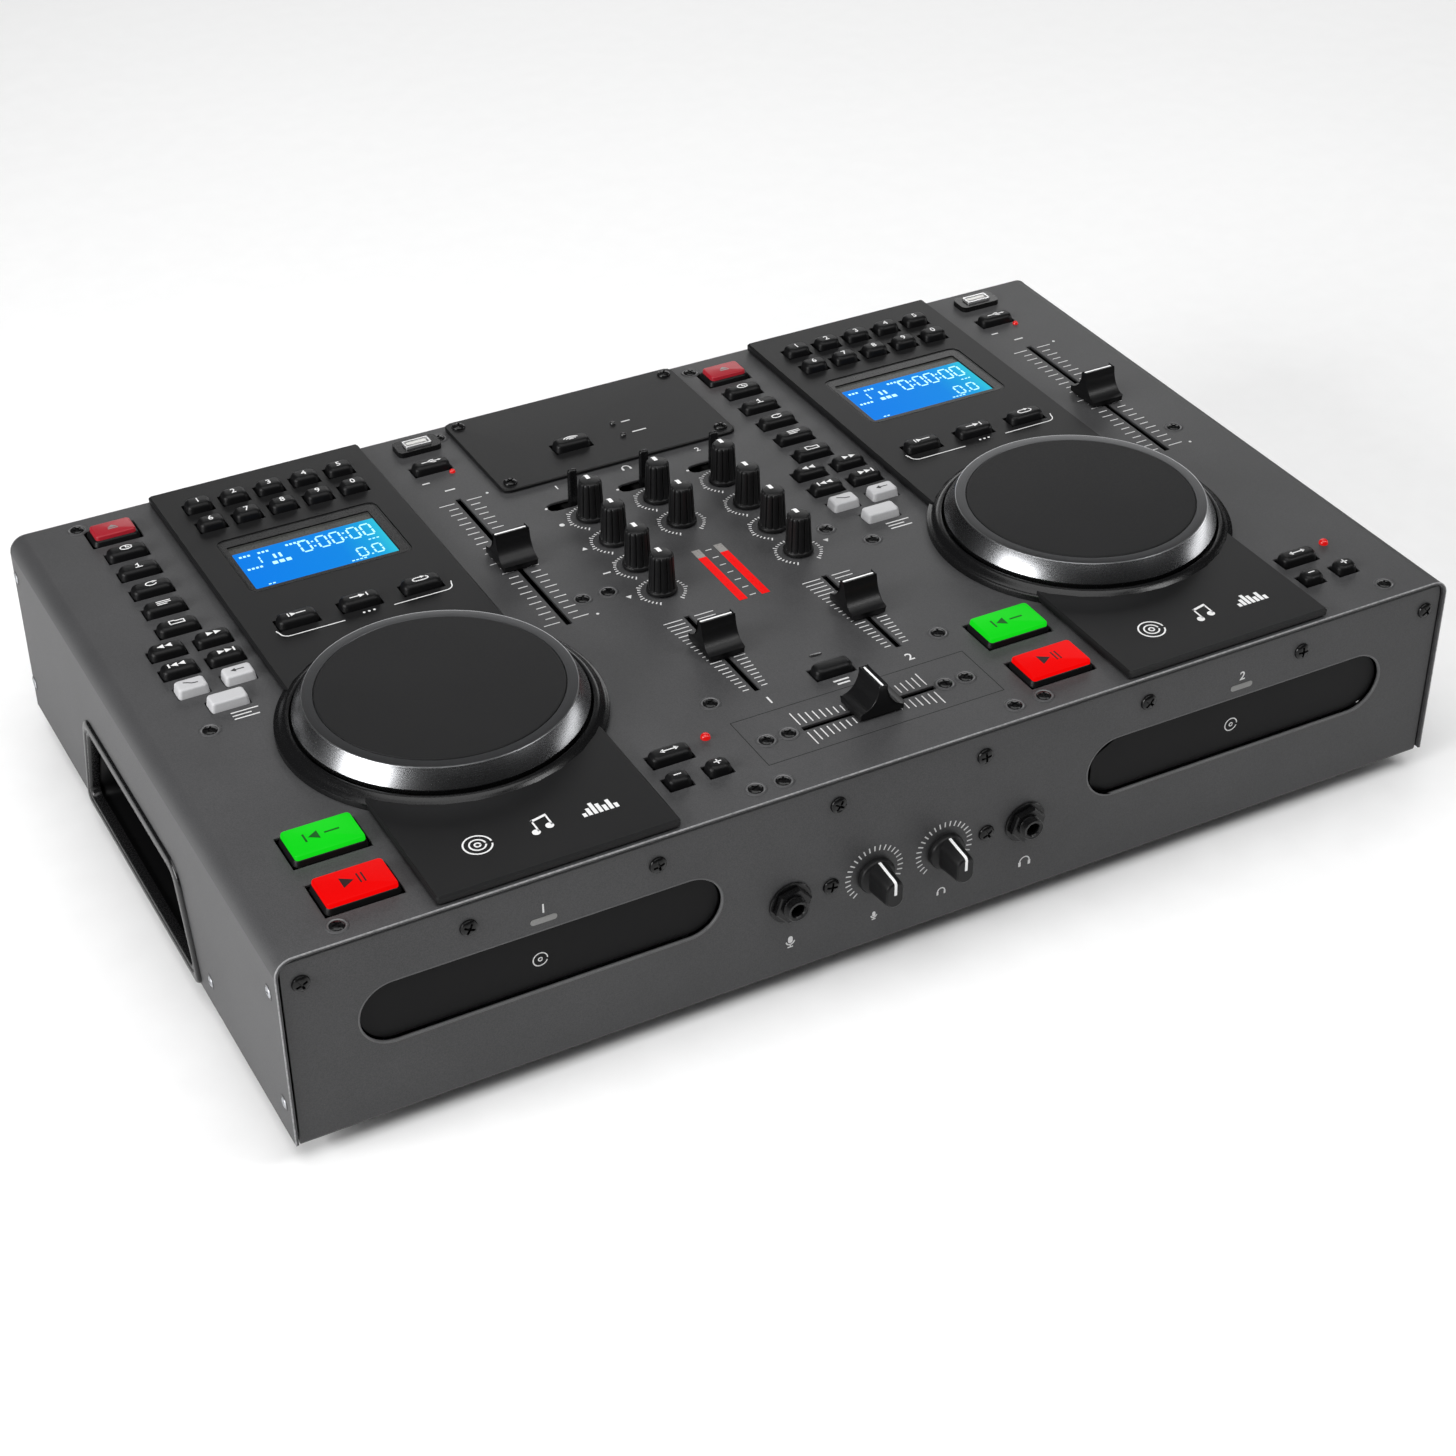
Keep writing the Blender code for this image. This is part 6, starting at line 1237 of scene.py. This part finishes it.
# Scales and marks printed on the cover.
METER_X, METER_OUT = -0.7, 6.1
METER_TICKS = [(METER_X, 7.6 * i - 36.5 + CENTRE_Y, 3.2) for i in range(7)]
PITCH_SLOT_Y, CHANNEL_SLOT_Y = 52.15, -68.55
DECK_DASHES = ((82.6, 127.8, 5.4), (74.3, 139.2, 4.0))
START_DASHES = ((0, -8.6, 8.0), (0, -11.2, 6.4))
RECEIVER_DASHES = ((19.4, 145.6, 5.0), (21.4, 133.4, 8.0))
EFFECT_DASHES = [(length / 2, -2.6 * i, length) for i, length in enumerate((13, 9, 12))]
KNOB_MARKS = (("dot", 69.4), ("up", 43.8), ("dash", 18.6), ("down", -6.0))
KNOB_MARK_COLUMNS, LEVER_DOT_SHIFT, PLATE_JOINT = (-53.7, 54.7), -15.0, (-61, 61, -17, 19)
NUMBERS = ((-36.6, -113.8, "1", 5.4), (37.2, -114.0, "2", 5.4), (-40.3, 103.8, "1", 3.8),
           (40.6, 104.2, "2", 3.8))


def print_cover():
    bm = bmesh.new()
    for side in SIDES:
        deck_x = middle(f"deck_panel_{side}").x
        slot = deck_x + PITCH_COLUMN
        ticks(bm, slot, PITCH_SLOT_Y, 124, 25, 3.4, pitch_tick)
        for sign in SIGNS:
            ink_dot(bm, slot + 15.5, PITCH_SLOT_Y + sign * 64, 0.75, COVER)
        dashes(bm, DECK_DASHES, 1.0, at(deck_x, 0, TOP))
        channel = middle(f"channel_fader_{side}").x
        ticks(bm, channel, CHANNEL_SLOT_Y, 66, 21, 3.2, channel_tick)
        below = at(middle(f"transport_keys_{side}").x - 2, box(f"transport_keys_{side}")[0].y - 2, TOP)
        dashes(bm, EFFECT_DASHES, 0.75, below)
    ticks(bm, -0.85, middle("crossfader").y, 66, 21, 3.2, cross_tick, side_on=True)
    for node in KNOBS:
        dial(bm, on_top(node), -60, 300, 31, 10.5, 12.0, 12.8, 0.66)
    for x, y, label, height in NUMBERS:
        ink_digits(bm, label, height, at(x, y, TOP))
    ink_symbol(bm, "ears", 2.6, 2.6, 0.6, at(-0.5, 105.2, TOP))
    for x in KNOB_MARK_COLUMNS:
        for mark, y in KNOB_MARKS:
            ink_symbol(bm, mark, 2.5, 2.5, 0.5, at(x, y, TOP))
    for name in ("left", "right", "centre"):
        lever = middle(f"selector_lever_{name}")
        ink_dot(bm, lever.x + LEVER_DOT_SHIFT, lever.y, 0.8, COVER)
    dashes(bm, METER_TICKS, 0.55, COVER)
    dashes(bm, START_DASHES, 1.1, on_top("fader_start_button"))
    dashes(bm, RECEIVER_DASHES, 0.9, at(0, 0, plate_high.z))
    made("cover_print", bm, [INK_GREY])
    bm = bmesh.new()
    joint = at(0, middle("crossfader").y, TOP)
    ink_line(bm, oblong(*PLATE_JOINT), 0.36, joint, closed=True, lift=0.03)
    made("mixer_plate_joint", bm, [GROOVE])


for side in SIDES:
    print_deck(side)
print_cover()


# Marks, lamps and lenses of the front and the top.
FRONT_MARKS = (("voice", -61.6, 28.4, 3.1), ("ears", 63.6, 27.6, 3.3), ("voice", -18.0, 26.6, 2.2),
               ("ears", 18.0, 27.0, 2.4))
DOME_PROFILE = ((0, -0.5), (1.7, -0.5), (1.7, 0.3), (1.55, 1.0), (1.05, 1.55), (0, 1.75))
DECK_LAMPS, RECEIVER_LAMPS = ((95.7, -125.7, 1.35), (91, 144, 0.9)), ((12.2, 146.0), (11.7, 132.4))
METER_FRONT, METER_CHANGE, METER_REAR, METER_HALF = -38.5, 4.0, 11.5, 2.15


def print_front():
    bm = bmesh.new()
    for node in FRONT_KNOBS:
        dial(bm, on_front(node), -45, 270, 25, 12.3, 15.1, 15.1, 0.62)
    for side, label in zip(SIDES, "12"):
        ink_digits(bm, label, 4.8, at(TRAY_X[side], FACE_Y, SIDE_FOOT + 81.2, "front"))
    for mark, x, z, scale in FRONT_MARKS:
        ink_symbol(bm, mark, scale, scale, 0.62, at(x, FACE_Y, z, "front"))
    made("front_print", bm, [INK_GREY])
    for side in SIDES:
        place = at(TRAY_X[side] - 1.6, box(f"disc_tray_{side}")[0].y + DOOR_SINK, TRAY_Z - 1, "front")
        bm = bmesh.new()
        for radius in (0.9, 3.4):
            ink_line(bm, arc(0, 0, radius, 0, 340, 24), 0.5, place)
        made(f"door_mark_{side}", bm, [INK_GREY], f"disc_tray_{side}")


def dome(bm, x, y, z, across, up, steps):
    turned(bm, [(r * across, h * up) for r, h in DOME_PROFILE], at(x, y, z), steps)


def build_lamps():
    bm = bmesh.new()
    for side in SIDES:
        pill = at(TRAY_X[side], FACE_Y, SIDE_FOOT + 75.5, "front")
        prism(bm, rounded_rectangle(12.4, 3.0, 1.45), -0.5, 0.35, pill, edge=0.15)
    made("tray_lamps", bm, [PILL])
    bm = bmesh.new()
    for side in SIDES:
        deck_x = middle(f"deck_panel_{side}").x
        for x, y, scale in DECK_LAMPS:
            dome(bm, deck_x + x, y, TOP, scale, scale, 24)
    made("deck_lamps", bm, [LAMP_RED])
    bm = bmesh.new()
    for x, y in RECEIVER_LAMPS:
        dome(bm, x, y, plate_high.z, 0.9, 0.8, 20)
    prism(bm, rounded_rectangle(6.4, 2.2, 1.05), -0.3, 0.25, at(-0.3, CENTRE_Y - 96.3, TOP), edge=0.1)
    made("mixer_lamps", bm, [LAMP_OFF])
    bm = bmesh.new()
    for sign in SIGNS:
        for low, high, material in ((METER_FRONT, METER_CHANGE, 0), (METER_CHANGE, METER_REAR, 1)):
            lens = oblong(-METER_HALF, METER_HALF, low, high)
            prism(bm, lens, -0.2, 0.22, at(METER_X + sign * METER_OUT, CENTRE_Y, TOP), material=material)
    made("level_meters", bm, [METER_RED, METER_OFF])


print_front()
build_lamps()


# Rear connectors.
PHONO_COLUMNS, PHONO_ROWS, PHONO_PITCH, PHONO_ROW_PITCH, PHONO_RADII = 4, 2, 22, 18, (4.2, 1.8)
COLLAR_PROFILE = ((4.3, 0), (6.2, 0), (6.2, 1.2), (5.9, 1.6), (4.6, 1.6), (4.3, 1.3))


def on_pin(face):
    """Whether a face of the mains inlet belongs to one of its pins."""
    width, height = (max(v.co[i] for v in face.verts) - min(v.co[i] for v in face.verts) for i in (0, 2))
    return width < 2.1 and height < 4.1 and -16 < face.calc_center_median().y - BACK_Y < 1


def build_rear():
    spot = middle("phono_socket_block")
    places = [(spot.x + (column - 1.5) * PHONO_PITCH, spot.z + (row - 0.5) * PHONO_ROW_PITCH, row)
              for column in range(PHONO_COLUMNS) for row in range(PHONO_ROWS)]
    dressed("phono_socket_block", [CUP, SILVER], edge=0.2,
            rounds=[(1, (x, 0, z), radius) for x, z, _ in places for radius in PHONO_RADII],
            pick=lambda f: int(f.calc_center_median().y > BACK_Y + 1))
    bm = bmesh.new()
    for x, z, row in places:
        turned(bm, COLLAR_PROFILE, at(x, BACK_Y, z, "rear"), 32, closed=True, material=row)
    made("phono_collars", bm, [PHONO_RED, PHONO_WHITE], angle=30)
    dressed("mains_inlet", [CUP, SILVER], edge=0.25, pick=lambda f: int(on_pin(f)))
    dressed("power_rocker", [KEY])
    bm = bmesh.new()
    above = at(middle("power_rocker").x, BACK_Y + 2.2, box("power_rocker")[1].z + 3.4, "rear")
    dashes(bm, ((0, 0, 3.2),), 0.5, above)
    made("rear_print", bm, [INK])


build_rear()


# Camera at the photograph's angle, floor and light, all in metres and degrees.
CAMERA_PLACE = (-0.53792, -1.01887, 0.83188)
CAMERA_TURN, CAMERA_LIFT, CAMERA_ROLL = -27.930, 35.386, -0.385
IMAGE_PIXELS, FOCAL_PIXELS, SENSOR = 1456, 2784.29, 36.0
# Each light: its place, what it points at, its width and depth, and its power.
LIGHTS = {
    "top_light": ((-0.3, -0.3, 2.6), (-0.1, -0.1, 0), 2.6, 2.6, 62),
    "rear_light": ((1.3, 2.3, 1.0), (0.1, 0.1, 0.05), 2.4, 0.8, 16),
    "left_light": ((-2.0, -0.30, 0.80), (-0.1, 0, 0.1), 1.2, 1.0, 46),
    "right_light": ((2.4, -0.35, 0.30), (0, 0, 0.1), 1.4, 0.4, 9),
    "corner_light": ((1.3, -1.1, 1.9), (0.3, -0.1, 0.1), 0.7, 0.7, 15),
}


def add_camera():
    data = bpy.data.cameras.new("camera")
    data.sensor_width = SENSOR
    data.sensor_fit = "HORIZONTAL"
    data.lens = FOCAL_PIXELS * SENSOR / IMAGE_PIXELS
    data.clip_start, data.clip_end = 0.01, 100.0
    camera = bpy.data.objects.new("camera", data)
    bpy.context.scene.collection.objects.link(camera)
    tilt = Matrix.Rotation(math.radians(90 - CAMERA_LIFT), 4, "X")
    camera.matrix_world = spun(spun(Matrix.Translation(CAMERA_PLACE), CAMERA_TURN) @ tilt, CAMERA_ROLL)
    bpy.context.scene.camera = camera


def add_light(name, place, target, width, depth, power):
    data = bpy.data.lights.new(name, "AREA")
    data.shape = "RECTANGLE"
    data.size, data.size_y = width, depth
    data.energy = power
    light = bpy.data.objects.new(name, data)
    bpy.context.scene.collection.objects.link(light)
    light.location = place
    light.rotation_euler = (Vector(target) - Vector(place)).to_track_quat("-Z", "Y").to_euler()


def add_stage():
    """A pale floor, a plain sky that darkens upwards, and soft lamps."""
    bpy.context.scene.view_settings.view_transform = "Standard"
    bm = bmesh.new()
    bmesh.ops.create_grid(bm, x_segments=8, y_segments=8, size=12.0)
    mesh = bpy.data.meshes.new("floor")
    bm.to_mesh(mesh)
    bm.free()
    mesh.materials.append(finish("floor_white", (0.90, 0.90, 0.90), 0.6, vary=0.01, drift=0.01, grain=20,
                                 patch=600, strength=0.0))
    floor = bpy.data.objects.new("floor", mesh)
    bpy.context.scene.collection.objects.link(floor)
    world = bpy.data.worlds.new("studio")
    world.use_nodes = True
    tree = world.node_tree
    parts = added(tree, "SeparateXYZ", added(tree, "TexCoord").outputs["Generated"])
    glow = spread(tree, parts.outputs["Z"], 0.50, 0.26, 0.12, 0.65)
    tree.links.new(glow, tree.nodes["Background"].inputs["Strength"])
    bpy.context.scene.world = world
    for name, light in LIGHTS.items():
        add_light(name, *light)


add_camera()
add_stage()
